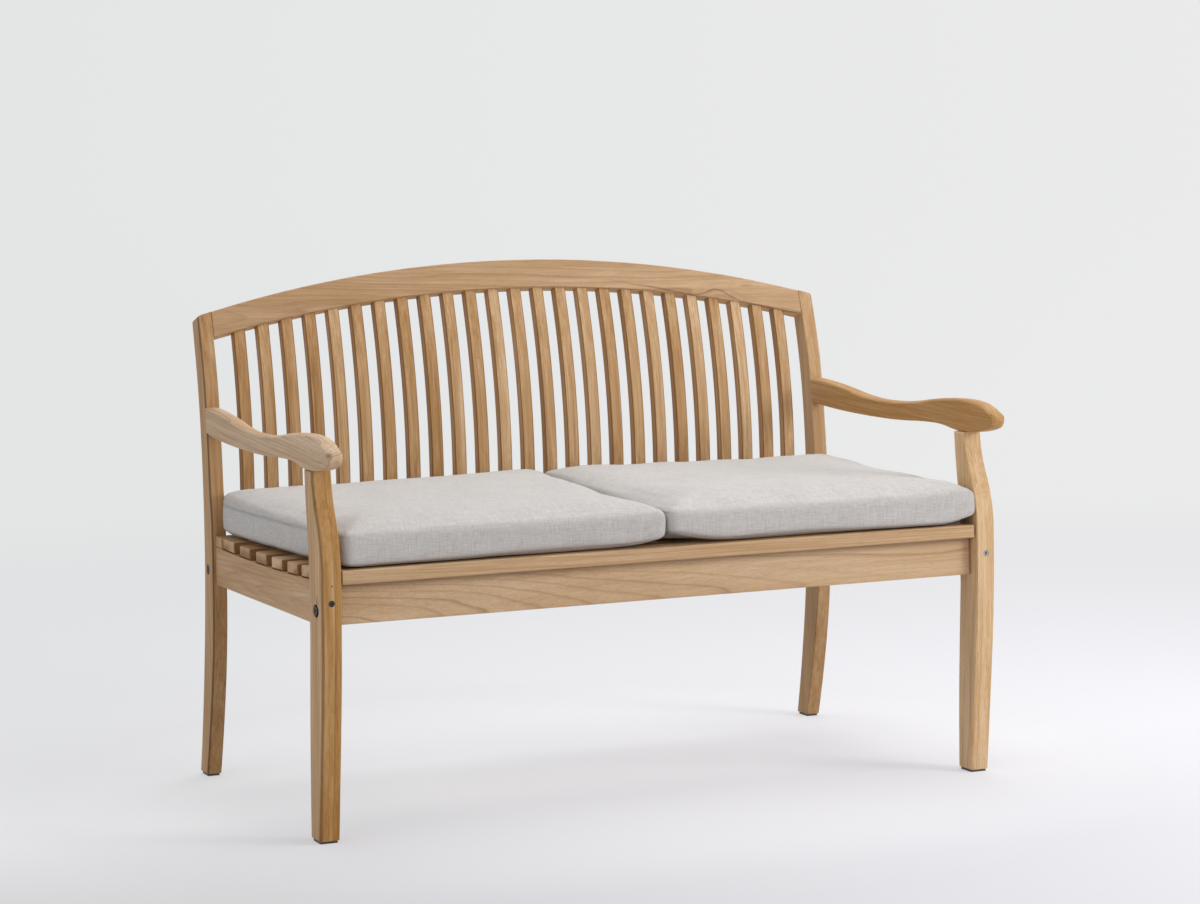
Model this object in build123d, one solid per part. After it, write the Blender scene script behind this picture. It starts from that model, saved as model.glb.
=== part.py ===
from build123d import *
import math
import os

# A two-seat slatted bench in teak with two loose cushions.
# Lengths in millimetres, +Z up, front towards -Y, mirrored about X = 0.
# While the pieces are drawn, Y is measured back from the front of the front feet,
# and the whole bench is centred front to back at the end.

# Overall sizes
bench_length = 1203
glide_height = 4
rail_underside_height = 341.5
joint_clearance = 0.2
overrun = 30

# Edge easing
leg_chamfer = 2.5
post_chamfer = 2
arm_chamfer = 3.5
seat_slat_chamfer = 1.5
crest_chamfer = 1.8

# Front legs: stations of the side outline as shares of the height and of the depth range,
# with the direction of the outline at each station in degrees (90 is straight up)
leg_thickness = 34
leg_height = 590
leg_depth_range = 75
leg_shoulder_depth = 59.5
leg_shoulder_height = 80
leg_shoulder_drop = 6.5
leg_front_depth_shares = (0.467, 0, 0.545)
leg_front_height_shares = (0, 0.71, 1)
leg_front_angles = (97, 90, 89)
leg_foot_back_share = 1
leg_back_angles = (90.5, 94, 90, 89)
leg_top_back_share = 0.975
leg_tenon_rise = 15
leg_tenon_depth = 19
leg_tenon_width = 12

# Rear posts, with the shoulder that the side rail butts against
post_thickness = 26.5
post_foot_set = 60
post_foot_depth = 39
post_shoulder_front = 557
post_shoulder_depth = 45
post_shoulder_height = 92
post_shoulder_drop = 11.5
post_bend_set = 9.5
post_bend_height = 520
post_sweep_set = 43.2
post_sweep_height = 745
post_sweep_depth = 37
post_top_depth = 35
post_top_rise = 80
post_front_angles = (107.5, 91, 90, 86, 73.8)
post_back_angles = (103.2, 90.5, 90, 75.5)
post_corner_round = 6

# Crest rail: an arched board in a plane that leans back with the posts
crest_foot_rise = 20
crest_lean = 0.29
crest_thickness = 30
crest_end_depth = 46.5
crest_mid_depth = 53
crest_rise = 77
crest_tenon_length = 14
crest_tenon_depth = 30
crest_tenon_thickness = 12

# Back slats: straight at the foot, then bent back to the lean of the crest rail
back_slat_count = 25
back_slat_end_space = 36.72
back_slat_width = 22
back_slat_thickness = 18
back_slat_set = 18
back_slat_bend_rise = 15
back_slat_crest_set = 3.2
back_slat_top_tenon = 16
back_slat_bottom_tenon = 20
back_slat_end_gap = 1

# Lower back rail, behind the cushions
lower_back_rail_rise = 103.5
lower_back_rail_depth = 45
lower_back_rail_thickness = 24
lower_back_rail_reveal = 1.5
lower_back_rail_tenon_inset = 8

# Side rails with a dished top edge
side_rail_inset = 6.5
side_rail_thickness = 21
dish_front_rise = 68
dish_low_rise = 62.1
dish_low_share = 0.6284
dish_rear_rise = 65.5
rail_tenon_length = 15
apron_tenon_length = 6
rear_rail_tenon_length = 4
rail_tenon_thickness = 12
rail_tenon_inset = 11

# Front apron, rear seat rail and centre bearer
apron_front = -14
apron_thickness = 22
apron_height = 64
apron_end_round = 7
rear_rail_set = 14
rear_rail_thickness = 22
rear_rail_height = 60
bearer_thickness = 22
bearer_lift = 15
bearer_stub = 8
bearer_stub_inset = 8

# Seat slats: front edge and width of each as shares of the seat depth, from the front
seat_slat_thickness = 19
seat_slat_setback = 2
seat_slat_front_shares = (0.0664, 0.1921, 0.3357, 0.4883, 0.6526, 0.8133)
seat_slat_width_shares = (0.0898, 0.0952, 0.1005, 0.1023, 0.1023, 0.1149)
rear_slat_width = 34
front_slat_nose = 17
front_slat_width = 54
front_slat_thickness = 22
front_slat_end_gap = 2.5

# Arms: stations of the side outline as shares of length and height, with directions
arm_reach_in = 33
arm_overhang = 78
arm_seating = 13
arm_height_range = 64.5
arm_top_length_shares = (1, 0.94, 0.545, 0.147, 0.027, 0)
arm_top_height_shares = (1, 0.995, 0.605, 0.878, 0.655, 0.44)
arm_top_angles = (180, 184, 180, 180, 206, 270)
arm_under_length_shares = (0, 0.065, 0.13, 0.305, 0.53, 1)
arm_under_height_shares = (0.44, 0.07, 0.01, 0.152, 0.095, 0.32)
arm_under_angles = (270, 350, 358, 360, 360, 366)
arm_tenon_length = 18.5
arm_tenon_depth_share = 0.403
arm_tenon_thickness = 13
arm_tenon_rise_share = 0.4496

# Side bolts with heads and headless face screws, both screwed into the rails
side_bolt_head = 15
side_bolt_head_height = 4
side_bolt_shank = 6
side_bolt_length = 68
side_bolt_rise = 24
face_screw_diameter = 9.5
face_screw_length = 64
face_screw_rise = 37
bolt_sink = 1
bolt_hole_clearance = 0.3
socket_width = 4
socket_depth = 2.5

# Glides
glide_inset = 3

# Cushions: the line between them runs a little askew, and each swells past its leg
cushion_gap = 2.5
cushion_middle_front = -5
cushion_middle_rear = 17
cushion_side_clearance = 1.2
cushion_post_clearance = 2
cushion_rear_clearance = 3
cushion_front = -28
cushion_seat_clearance = 0.5
cushion_edge_height = 60
cushion_crown = 17
cushion_corner_radius = 26
cushion_knee_reach = 37
cushion_swell = 3.5
cushion_draw_in = 4
cushion_edge_inset = 9
cushion_crown_inset = 131
cushion_side_height_shares = (0, 0.175, 0.81, 1)
cushion_side_inset_shares = (0.78, 0, 0.055, 1)
cushion_crown_height_shares = (0.45, 0.85, 1)
cushion_crown_inset_shares = (0.16, 0.5, 1)

parallel_spread = 1 / 1000000000


def biarc(start, start_angle, end, end_angle):
    """Two arcs that join two points and are tangent to a direction at each."""
    p0 = Vector(*start)
    p1 = Vector(*end)
    t0 = Vector(math.cos(math.radians(start_angle)), math.sin(math.radians(start_angle)))
    t1 = Vector(math.cos(math.radians(end_angle)), math.sin(math.radians(end_angle)))
    chord = p1 - p0
    both = t0 + t1
    spread = 2 * (1 - t0.dot(t1))
    along = chord.dot(both)
    if spread < parallel_spread:
        reach = chord.dot(chord) / (4 * chord.dot(t1))
    else:
        reach = (math.sqrt(along * along + spread * chord.dot(chord)) - along) / spread
    joint = (p0 + p1 + (t0 - t1) * reach) / 2
    first = TangentArc([p0, joint], tangent=t0)
    second = TangentArc([joint, p1], tangent=first % 1)
    return first + second


def smooth_run(depths, heights, angles):
    """A smooth outline through stations of depth, height and direction."""
    run = Curve()
    for i in range(len(angles) - 1):
        start = (depths[i], heights[i])
        end = (depths[i + 1], heights[i + 1])
        run += biarc(start, angles[i], end, angles[i + 1])
    return run


def shared(low, span, shares):
    """Places worked out as shares of a span above a low value."""
    return [low + span * share for share in shares]


def plate(outline, inner, thickness):
    """A board cut to a side outline of depth and height, from X = inner outwards."""
    face = make_face(outline)
    return extrude(Plane.YZ.offset(inner) * face, amount=thickness)


def block(x0, x1, y0, y1, z0, z1):
    """A squared block between two opposite corners."""
    solid = Box(x1 - x0, y1 - y0, z1 - z0, align=(Align.MIN, Align.MIN, Align.MIN))
    return Pos(x0, y0, z0) * solid


def rod(start, direction, diameter, length):
    """A round bar from a start point along a direction."""
    plane = Plane(origin=start, z_dir=direction)
    return extrude(plane * Circle(diameter / 2), amount=length)


def eased(solid, size):
    """Ease the long edges round both side faces of a board."""
    return chamfer(solid.faces().filter_by(Axis.X).edges(), size)


def right_and_left(right):
    """A piece and its mirror image across the middle of the bench."""
    return right, mirror(right, about=Plane.YZ)


def socket(start, direction):
    """The hexagonal key socket in the end of a bolt or screw."""
    plane = Plane(origin=start, z_dir=direction)
    return extrude(plane * RegularPolygon(socket_width / 2, 6, major_radius=False), amount=socket_depth)


half_length = bench_length / 2
leg_inner = half_length - leg_thickness
post_inner = half_length - post_thickness
side_rail_outer = half_length - side_rail_inset
side_rail_inner = side_rail_outer - side_rail_thickness
side_rail_middle = (side_rail_outer + side_rail_inner) / 2
leg_most_front = -leg_depth_range * leg_front_depth_shares[0]
leg_shoulder = leg_most_front + leg_shoulder_depth
leg_shoulder_bottom = rail_underside_height - leg_shoulder_drop
post_shoulder_bottom = rail_underside_height - post_shoulder_drop
post_shoulder_top = post_shoulder_bottom + post_shoulder_height
post_shoulder_back = post_shoulder_front + post_shoulder_depth
post_foot_front = post_shoulder_front + post_foot_set
post_bend_front = post_shoulder_front + post_bend_set
post_sweep_front = post_shoulder_front + post_sweep_set
post_top_height = post_sweep_height + post_top_rise
crest_plane_front = post_sweep_front + crest_foot_rise * crest_lean
crest_plane_height = post_sweep_height + crest_foot_rise
lean_angle = math.degrees(math.atan(crest_lean))
lean_cos = math.cos(math.radians(lean_angle))

dish_low_height = rail_underside_height + dish_low_rise
dish_rear_height = rail_underside_height + dish_rear_rise
dish_points = (
    (leg_shoulder, rail_underside_height + dish_front_rise),
    (post_shoulder_front * dish_low_share, dish_low_height),
    (post_shoulder_front, dish_rear_height),
)
apron_back = apron_front + apron_thickness
apron_middle = (apron_front + apron_back) / 2
apron_top = rail_underside_height + apron_height
rear_rail_front = post_shoulder_front + rear_rail_set
rear_rail_back = rear_rail_front + rear_rail_thickness
rear_rail_middle = (rear_rail_front + rear_rail_back) / 2
back_slat_front = post_shoulder_front + back_slat_set
lower_back_rail_underside = rail_underside_height + lower_back_rail_rise
lower_back_rail_top = lower_back_rail_underside + lower_back_rail_depth
lower_back_rail_front = back_slat_front - lower_back_rail_reveal
lower_back_rail_back = lower_back_rail_front + lower_back_rail_thickness
side_bolt_height = rail_underside_height + side_bolt_rise
face_screw_height = rail_underside_height + face_screw_rise


def circle_of(points):
    """Centre and radius of the circle through three points."""
    (ax, ay), (bx, by), (cx, cy) = points
    d = 2 * (ax * (by - cy) + bx * (cy - ay) + cx * (ay - by))
    a2 = ax * ax + ay * ay
    b2 = bx * bx + by * by
    c2 = cx * cx + cy * cy
    ux = (a2 * (by - cy) + b2 * (cy - ay) + c2 * (ay - by)) / d
    uy = (a2 * (cx - bx) + b2 * (ax - cx) + c2 * (bx - ax)) / d
    return ux, uy, math.hypot(ax - ux, ay - uy)


dish_y, dish_z, dish_radius = circle_of(dish_points)


def dish_at(y):
    """Height of the dished seat bearing at a depth."""
    return dish_z - math.sqrt(dish_radius * dish_radius - (y - dish_y) * (y - dish_y))


def dish_arc(y0, y1):
    """The dished edge between two depths."""
    middle = (y0 + y1) / 2
    return ThreePointArc((y0, dish_at(y0)), (middle, dish_at(middle)), (y1, dish_at(y1)))


def grown(box, clearance):
    """The hole for a squared tenon: its box grown by the clearance all round."""
    x0, x1, y0, y1, z0, z1 = box
    c = clearance
    return block(x0 - c, x1 + c, y0 - c, y1 + c, z0 - c, z1 + c)


# Front leg outline
leg_front_run = smooth_run(
    shared(leg_most_front, leg_depth_range, leg_front_depth_shares),
    shared(glide_height, leg_height, leg_front_height_shares),
    leg_front_angles,
)
leg_foot_back = leg_most_front + leg_depth_range * leg_foot_back_share
leg_top_back = leg_most_front + leg_depth_range * leg_top_back_share
leg_back_low = biarc(
    (leg_foot_back, glide_height), leg_back_angles[0],
    (leg_shoulder, leg_shoulder_bottom), leg_back_angles[1],
)
leg_shoulder_top = leg_shoulder_bottom + leg_shoulder_height
leg_flat = Line((leg_shoulder, leg_shoulder_bottom), (leg_shoulder, leg_shoulder_top))
leg_back_high = biarc(
    leg_flat @ 1, leg_back_angles[2],
    (leg_top_back, glide_height + leg_height), leg_back_angles[3],
)
leg_sole = Line(leg_front_run @ 0, leg_back_low @ 0)
leg_crown = Line(leg_front_run @ 1, leg_back_high @ 1)
leg_outline = leg_front_run + leg_back_low + leg_flat + leg_back_high + leg_sole + leg_crown
leg_blank = plate(leg_outline, leg_inner, leg_thickness)

# Rear post outline
post_front_low = biarc(
    (post_foot_front, glide_height), post_front_angles[0],
    (post_shoulder_front, post_shoulder_bottom), post_front_angles[1],
)
post_flat = Line((post_shoulder_front, post_shoulder_bottom), (post_shoulder_front, post_shoulder_top))
post_front_high = smooth_run(
    (post_shoulder_front, post_bend_front, post_sweep_front),
    (post_shoulder_top, post_bend_height, post_sweep_height),
    post_front_angles[2:],
)
post_top_front = post_sweep_front + (post_top_height - post_sweep_height) * crest_lean
post_front_top = Line((post_sweep_front, post_sweep_height), (post_top_front, post_top_height))
post_back_low = biarc(
    (post_foot_front + post_foot_depth, glide_height), post_back_angles[0],
    (post_shoulder_back, post_shoulder_top), post_back_angles[1],
)
post_back_high = biarc(
    post_back_low @ 1, post_back_angles[2],
    (post_sweep_front + post_sweep_depth, post_sweep_height), post_back_angles[3],
)
post_back_top = Line(post_back_high @ 1, (post_top_front + post_top_depth, post_top_height))
post_sole = Line(post_front_low @ 0, post_back_low @ 0)
post_crown = Line(post_front_top @ 1, post_back_top @ 1)
post_outline = post_front_low + post_flat + post_front_high + post_front_top
post_outline += post_back_low + post_back_high + post_back_top + post_sole + post_crown
post_blank = plate(post_outline, post_inner, post_thickness)

# Arm outline, with the scrolled nose that overhangs the leg
arm_front = -arm_overhang
arm_length = arm_overhang + post_shoulder_front + arm_reach_in
arm_base_height = glide_height + leg_height - arm_seating
arm_run = smooth_run(
    shared(arm_front, arm_length, arm_top_length_shares),
    shared(arm_base_height, arm_height_range, arm_top_height_shares),
    arm_top_angles,
)
arm_under_run = smooth_run(
    shared(arm_front, arm_length, arm_under_length_shares),
    shared(arm_base_height, arm_height_range, arm_under_height_shares),
    arm_under_angles,
)
arm_outline = arm_run + arm_under_run + Line(arm_under_run @ 1, arm_run @ 0)
arm_blank = plate(arm_outline, post_inner, post_thickness)
arm_cutter = plate(arm_outline, leg_inner - overrun, leg_thickness + 2 * overrun)

# Tenon boxes: inner and outer X, front and back Y, lower and upper Z
rail_tenon_low = rail_underside_height + rail_tenon_inset
rail_tenon_high = dish_low_height - rail_tenon_inset
side_tenon_x0 = side_rail_middle - rail_tenon_thickness / 2
side_tenon_x1 = side_rail_middle + rail_tenon_thickness / 2
side_rail_tenon = (
    side_tenon_x0, side_tenon_x1,
    leg_shoulder - rail_tenon_length, post_shoulder_front + rail_tenon_length,
    rail_tenon_low, rail_tenon_high,
)
apron_tenon = (
    -leg_inner - apron_tenon_length, leg_inner + apron_tenon_length,
    apron_middle - rail_tenon_thickness / 2, apron_middle + rail_tenon_thickness / 2,
    rail_tenon_low, rail_tenon_high,
)
rear_rail_tenon = (
    -post_inner - rear_rail_tenon_length, post_inner + rear_rail_tenon_length,
    rear_rail_middle - rail_tenon_thickness / 2, rear_rail_middle + rail_tenon_thickness / 2,
    rail_tenon_low, rail_tenon_high,
)
lower_back_middle = (lower_back_rail_front + lower_back_rail_back) / 2
lower_back_tenon = (
    -post_inner - crest_tenon_length, post_inner + crest_tenon_length,
    lower_back_middle - crest_tenon_thickness / 2, lower_back_middle + crest_tenon_thickness / 2,
    lower_back_rail_underside + lower_back_rail_tenon_inset,
    lower_back_rail_top - lower_back_rail_tenon_inset,
)
arm_middle = post_inner + post_thickness / 2
leg_top_middle = (leg_crown @ 0.5).X
arm_under_height = arm_base_height + arm_height_range * min(arm_under_height_shares)
leg_tenon = (
    arm_middle - leg_tenon_width / 2, arm_middle + leg_tenon_width / 2,
    leg_top_middle - leg_tenon_depth / 2, leg_top_middle + leg_tenon_depth / 2,
    arm_under_height - leg_tenon_rise, arm_under_height + leg_tenon_rise,
)
arm_tenon_back = post_bend_front + post_bend_set + arm_tenon_length
arm_tenon_underside = arm_base_height + arm_height_range * arm_tenon_rise_share
arm_tenon_depth = arm_height_range * arm_tenon_depth_share
arm_tenon = (
    arm_middle - arm_tenon_thickness / 2, arm_middle + arm_tenon_thickness / 2,
    post_shoulder_front, arm_tenon_back,
    arm_tenon_underside, arm_tenon_underside + arm_tenon_depth,
)

# Crest rail in its leaning plane
crest_plane = Plane(
    origin=(0, crest_plane_front, crest_plane_height),
    x_dir=(1, 0, 0),
    z_dir=(0, -math.cos(math.radians(lean_angle)), math.sin(math.radians(lean_angle))),
)
crest_apex = crest_end_depth + crest_rise
crest_low_apex = crest_apex - crest_mid_depth
crest_top_radius = (post_inner * post_inner + crest_rise * crest_rise) / (2 * crest_rise)
crest_low_radius = (post_inner * post_inner + crest_low_apex * crest_low_apex) / (2 * crest_low_apex)


def crest_top_at(x):
    """Height of the arched top edge above the crest plane's origin."""
    return crest_apex - crest_top_radius + math.sqrt(crest_top_radius * crest_top_radius - x * x)


def crest_underside_at(x):
    """World height of the front of the crest's arched underside."""
    local = crest_low_apex - crest_low_radius + math.sqrt(crest_low_radius * crest_low_radius - x * x)
    return crest_plane_height + local * lean_cos


crest_top_arc = ThreePointArc((-post_inner, crest_end_depth), (0, crest_apex), (post_inner, crest_end_depth))
crest_low_arc = ThreePointArc((-post_inner, 0), (0, crest_low_apex), (post_inner, 0))
crest_end_left = Line(crest_top_arc @ 0, crest_low_arc @ 0)
crest_end_right = Line(crest_top_arc @ 1, crest_low_arc @ 1)
crest_face = make_face(crest_top_arc + crest_low_arc + crest_end_left + crest_end_right)
crest = extrude(crest_plane * crest_face, amount=-crest_thickness)
crest = chamfer(crest.edges().filter_by(GeomType.CIRCLE), crest_chamfer)
crest_tenon_face = Rectangle(post_inner * 2 + crest_tenon_length * 2, crest_tenon_depth)
crest_tenon_place = Pos(0, crest_end_depth / 2)
crest_tenon_plane = crest_plane.offset(-(crest_thickness - crest_tenon_thickness) / 2)
crest_tenon_bar = crest_tenon_plane * crest_tenon_place * crest_tenon_face
crest_tenon_bar = extrude(crest_tenon_bar, amount=-crest_tenon_thickness)
crest_end_band = block(
    post_inner, post_inner + crest_tenon_length,
    post_shoulder_front, post_top_front + post_top_depth, post_sweep_height, post_top_height,
)
crest_tenon_right = crest_tenon_bar & crest_end_band
crest += crest_tenon_right
crest += mirror(crest_tenon_right, about=Plane.YZ)
crest_hole_face = Rectangle(
    post_inner * 2 + crest_tenon_length * 2 + joint_clearance * 2,
    crest_tenon_depth + joint_clearance * 2,
)
crest_hole_plane = crest_tenon_plane.offset(joint_clearance)
crest_hole_depth = crest_tenon_thickness + joint_clearance * 2
crest_hole = extrude(crest_hole_plane * crest_tenon_place * crest_hole_face, amount=-crest_hole_depth)

# The cut that carries the arch across the tops of the posts and rounds their outer corners
post_cut_start = post_inner - overrun
post_cut_turn = half_length - post_corner_round
post_cut_mid = (post_cut_start + post_cut_turn) / 2
post_cut_arc = ThreePointArc(
    (post_cut_start, crest_top_at(post_cut_start)),
    (post_cut_mid, crest_top_at(post_cut_mid)),
    (post_cut_turn, crest_top_at(post_cut_turn)),
)
post_cut_edge = crest_top_at(half_length) - post_corner_round
post_cut_corner = TangentArc([post_cut_arc @ 1, (half_length, post_cut_edge)], tangent=post_cut_arc % 1)
post_cut_sides = Polyline(
    post_cut_corner @ 1,
    (half_length + overrun, post_cut_edge),
    (half_length + overrun, crest_apex + overrun),
    (post_cut_start, crest_apex + overrun),
    post_cut_arc @ 0,
)
post_cut_face = make_face(post_cut_arc + post_cut_corner + post_cut_sides)
post_cut = extrude(crest_plane.offset(overrun) * post_cut_face, amount=-post_foot_depth - overrun * 2)

# Back slats and their mortises: straight, then one arc, then straight again along the lean
slat_turn = back_slat_crest_set + crest_plane_front - back_slat_front
slat_turn_height = crest_plane_height - slat_turn / crest_lean
slat_bend_height = lower_back_rail_top + back_slat_bend_rise
slat_bend_radius = (slat_turn_height - slat_bend_height) / math.tan(math.radians(lean_angle / 2))
slat_back_radius = slat_bend_radius - back_slat_thickness
bend_y = back_slat_front + slat_bend_radius
back_slat_foot = lower_back_rail_top - back_slat_bottom_tenon
back_slat_pitch = (post_inner - back_slat_end_space - back_slat_width / 2) * 2 / (back_slat_count - 1)
slat_places = [(i - (back_slat_count - 1) / 2) * back_slat_pitch for i in range(back_slat_count)]


def on_bend(radius, degrees):
    """Depth and height on a bent slat face of one radius, at an angle round the bend."""
    turn = math.radians(degrees)
    return bend_y - radius * math.cos(turn), slat_bend_height + radius * math.sin(turn)


def on_lean(radius, z):
    """Depth and height on the straight upper part of a slat face of one radius."""
    y, bend_end = on_bend(radius, lean_angle)
    return y + (z - bend_end) * crest_lean, z


def slat_outline(front_radius, back_radius, foot, top):
    """Side outline of a back slat: straight up to the bend, curved, then leaning."""
    front_arc = ThreePointArc(*[on_bend(front_radius, lean_angle * share) for share in (0, 1 / 2, 1)])
    back_arc = ThreePointArc(*[on_bend(back_radius, lean_angle * share) for share in (0, 1 / 2, 1)])
    front_line = Line((bend_y - front_radius, foot), front_arc @ 0)
    back_line = Line((bend_y - back_radius, foot), back_arc @ 0)
    front_lean = Line(front_arc @ 1, on_lean(front_radius, top))
    back_lean = Line(back_arc @ 1, on_lean(back_radius, top))
    foot_line = Line(front_line @ 0, back_line @ 0)
    top_line = Line(front_lean @ 1, back_lean @ 1)
    outline = front_line + front_arc + front_lean + top_line
    return outline + back_lean + back_arc + back_line + foot_line


back_slats = []
crest_mortises = []
foot_mortises = []
for x in slat_places:
    edge = abs(x) + back_slat_width / 2
    slat_top = crest_underside_at(edge) + back_slat_top_tenon
    outline = slat_outline(slat_bend_radius, slat_back_radius, back_slat_foot, slat_top)
    slat = plate(outline, x - back_slat_width / 2, back_slat_width)
    back_slats.append(slat)
    hole_top = slat_top + back_slat_end_gap
    hole_foot = slat_top - back_slat_top_tenon * 2
    hole_front = slat_bend_radius + joint_clearance
    hole_back = slat_back_radius - joint_clearance
    hole_outline = Polyline(
        on_lean(hole_front, hole_foot), on_lean(hole_front, hole_top),
        on_lean(hole_back, hole_top), on_lean(hole_back, hole_foot),
        close=True,
    )
    hole_width = back_slat_width + joint_clearance * 2
    crest_mortises.append(plate(hole_outline, x - hole_width / 2, hole_width))
    foot_mortises.append(block(
        x - hole_width / 2, x + hole_width / 2,
        back_slat_front - joint_clearance, back_slat_front + back_slat_thickness + joint_clearance,
        back_slat_foot - back_slat_end_gap, lower_back_rail_top + overrun,
    ))
crest -= crest_mortises

# Lower back rail
lower_back_rail = block(
    -post_inner, post_inner,
    lower_back_rail_front, lower_back_rail_back,
    lower_back_rail_underside, lower_back_rail_top,
)
lower_back_rail += block(*lower_back_tenon)
lower_back_rail -= foot_mortises

# Side rail with its dished top edge and a tenon at each end
side_rail_low = Line((leg_shoulder, rail_underside_height), (post_shoulder_front, rail_underside_height))
side_rail_dish = dish_arc(leg_shoulder, post_shoulder_front)
side_rail_outline = side_rail_low + side_rail_dish
side_rail_outline += Line(side_rail_low @ 0, side_rail_dish @ 0)
side_rail_outline += Line(side_rail_low @ 1, side_rail_dish @ 1)
side_rail = plate(side_rail_outline, side_rail_inner, side_rail_thickness)
side_rail += block(*side_rail_tenon)

# Front apron with rounded ends, rear seat rail and centre bearer
apron = block(-leg_inner, leg_inner, apron_front, apron_back, rail_underside_height, apron_top)
apron_front_corners = apron.edges().filter_by(Axis.Z).group_by(Axis.Y)[0]
apron = fillet(apron_front_corners, apron_end_round)
apron += block(*apron_tenon)
rear_rail_top = rail_underside_height + rear_rail_height
rear_rail = block(
    -post_inner, post_inner,
    rear_rail_front, rear_rail_back,
    rail_underside_height, rear_rail_top,
)
rear_rail += block(*rear_rail_tenon)
bearer_bottom = rail_underside_height + bearer_lift
front_slat_back = apron_front - front_slat_nose + front_slat_width
bearer_step = (front_slat_back + post_shoulder_front * seat_slat_front_shares[0]) / 2
bearer_dish = dish_arc(bearer_step, post_shoulder_front)
bearer_front = Polyline(
    bearer_dish @ 0,
    (bearer_step, apron_top),
    (apron_back, apron_top),
    (apron_back, bearer_bottom),
    (rear_rail_front, bearer_bottom),
    (rear_rail_front, dish_rear_height),
    bearer_dish @ 1,
)
bearer = plate(bearer_dish + bearer_front, -bearer_thickness / 2, bearer_thickness)
bearer_stub_box = (
    -bearer_thickness / 2 + bearer_stub_inset / 2, bearer_thickness / 2 - bearer_stub_inset / 2,
    apron_back - bearer_stub, rear_rail_front + bearer_stub,
    bearer_bottom + bearer_stub_inset, rear_rail_top - bearer_stub_inset,
)
bearer += block(*bearer_stub_box)
apron -= grown(bearer_stub_box, joint_clearance)
rear_rail -= grown(bearer_stub_box, joint_clearance)

# Seat slats, each lying on its own stretch of the dished bearings
seat_slats = []
seat_tops = []
for front_share, width_share in zip(seat_slat_front_shares, seat_slat_width_shares):
    front = post_shoulder_front * front_share
    width = post_shoulder_front * width_share
    rear = front + width
    tilt = math.atan2(dish_at(rear) - dish_at(front), width)
    over_y = -math.sin(tilt) * seat_slat_thickness
    over_z = math.cos(tilt) * seat_slat_thickness
    section = Polyline(
        (front, dish_at(front)), (rear, dish_at(rear)),
        (rear + over_y, dish_at(rear) + over_z), (front + over_y, dish_at(front) + over_z),
        close=True,
    )
    half = side_rail_outer - seat_slat_setback
    slat = plate(section, -half, half * 2)
    slat = chamfer(slat.edges().filter_by(Axis.X).sort_by(Axis.Z)[-2:], seat_slat_chamfer)
    seat_slats.append(slat)
    seat_tops.append(slat.bounding_box().max.Z)
rear_slat_front = post_shoulder_front - rear_slat_width
rear_slat_section = Polyline(
    (rear_slat_front, dish_at(rear_slat_front)), (post_shoulder_front, dish_at(post_shoulder_front)),
    (post_shoulder_front, dish_at(post_shoulder_front) + seat_slat_thickness),
    (rear_slat_front, dish_at(rear_slat_front) + seat_slat_thickness),
    close=True,
)
rear_slat = plate(rear_slat_section, -side_rail_outer, side_rail_outer * 2)
rear_slat = chamfer(rear_slat.edges().filter_by(Axis.X).sort_by(Axis.Z)[-2:], seat_slat_chamfer)
seat_slats.append(rear_slat)
front_slat_half = leg_inner - front_slat_end_gap
front_slat = block(
    -front_slat_half, front_slat_half,
    apron_front - front_slat_nose, front_slat_back,
    apron_top, apron_top + front_slat_thickness,
)
front_slat = chamfer(front_slat.edges().filter_by(Axis.X), seat_slat_chamfer)
seat_slats.insert(0, front_slat)
seat_height = max(seat_tops + [apron_top + front_slat_thickness, rear_slat.bounding_box().max.Z])

# Rigid side frame pieces with their mortises
leg = eased(leg_blank, leg_chamfer) - arm_cutter
leg += block(*leg_tenon)
leg -= grown(apron_tenon, joint_clearance)
leg -= grown(side_rail_tenon, joint_clearance)
post = eased(post_blank, post_chamfer) - post_cut
post -= grown(side_rail_tenon, joint_clearance)
post -= grown(rear_rail_tenon, joint_clearance)
post -= grown(lower_back_tenon, joint_clearance)
post -= grown(arm_tenon, joint_clearance)
post -= crest_hole
arm = eased(arm_blank, arm_chamfer) - post_blank
arm += block(*arm_tenon)
arm -= grown(leg_tenon, joint_clearance)

# Side bolts, face screws and their holes on the right-hand side
side_bolt_start = half_length - bolt_sink
side_bolts_right = []
holes = []
for y in (apron_middle, rear_rail_middle):
    start = (side_bolt_start, y, side_bolt_height)
    side_bolt = rod(start, (-1, 0, 0), side_bolt_shank, side_bolt_length)
    side_bolt += rod(start, (-1, 0, 0), side_bolt_head, side_bolt_head_height)
    side_bolts_right.append(side_bolt - socket(start, (-1, 0, 0)))
    hole = rod(start, (-1, 0, 0), side_bolt_shank + bolt_hole_clearance * 2, side_bolt_length)
    hole += rod(start, (-1, 0, 0), side_bolt_head + bolt_hole_clearance * 2, side_bolt_head_height)
    hole += rod(start, (1, 0, 0), side_bolt_head + bolt_hole_clearance * 2, overrun)
    holes.append(hole)
face_screws_right = []
face_screw_front = leg_most_front + bolt_sink
face_screw_rear = post_shoulder_back - bolt_sink
leg_reach = leg_shoulder - rail_tenon_length - face_screw_front
post_reach = face_screw_rear - post_shoulder_front - rail_tenon_length
for y, heading, reach in ((face_screw_front, 1, leg_reach), (face_screw_rear, -1, post_reach)):
    start = (side_rail_middle, y, face_screw_height)
    ahead = (0, heading, 0)
    face_screw = rod(start, ahead, face_screw_diameter, face_screw_length)
    face_screws_right.append(face_screw - socket(start, ahead))
    before = (side_rail_middle, y - heading * overrun, face_screw_height)
    holes.append(rod(before, ahead, face_screw_diameter + joint_clearance * 2, overrun + reach))
leg -= holes
post -= holes
side_bolts = side_bolts_right + [mirror(piece, about=Plane.YZ) for piece in side_bolts_right]
face_screws = face_screws_right + [mirror(piece, about=Plane.YZ) for piece in face_screws_right]

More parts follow.
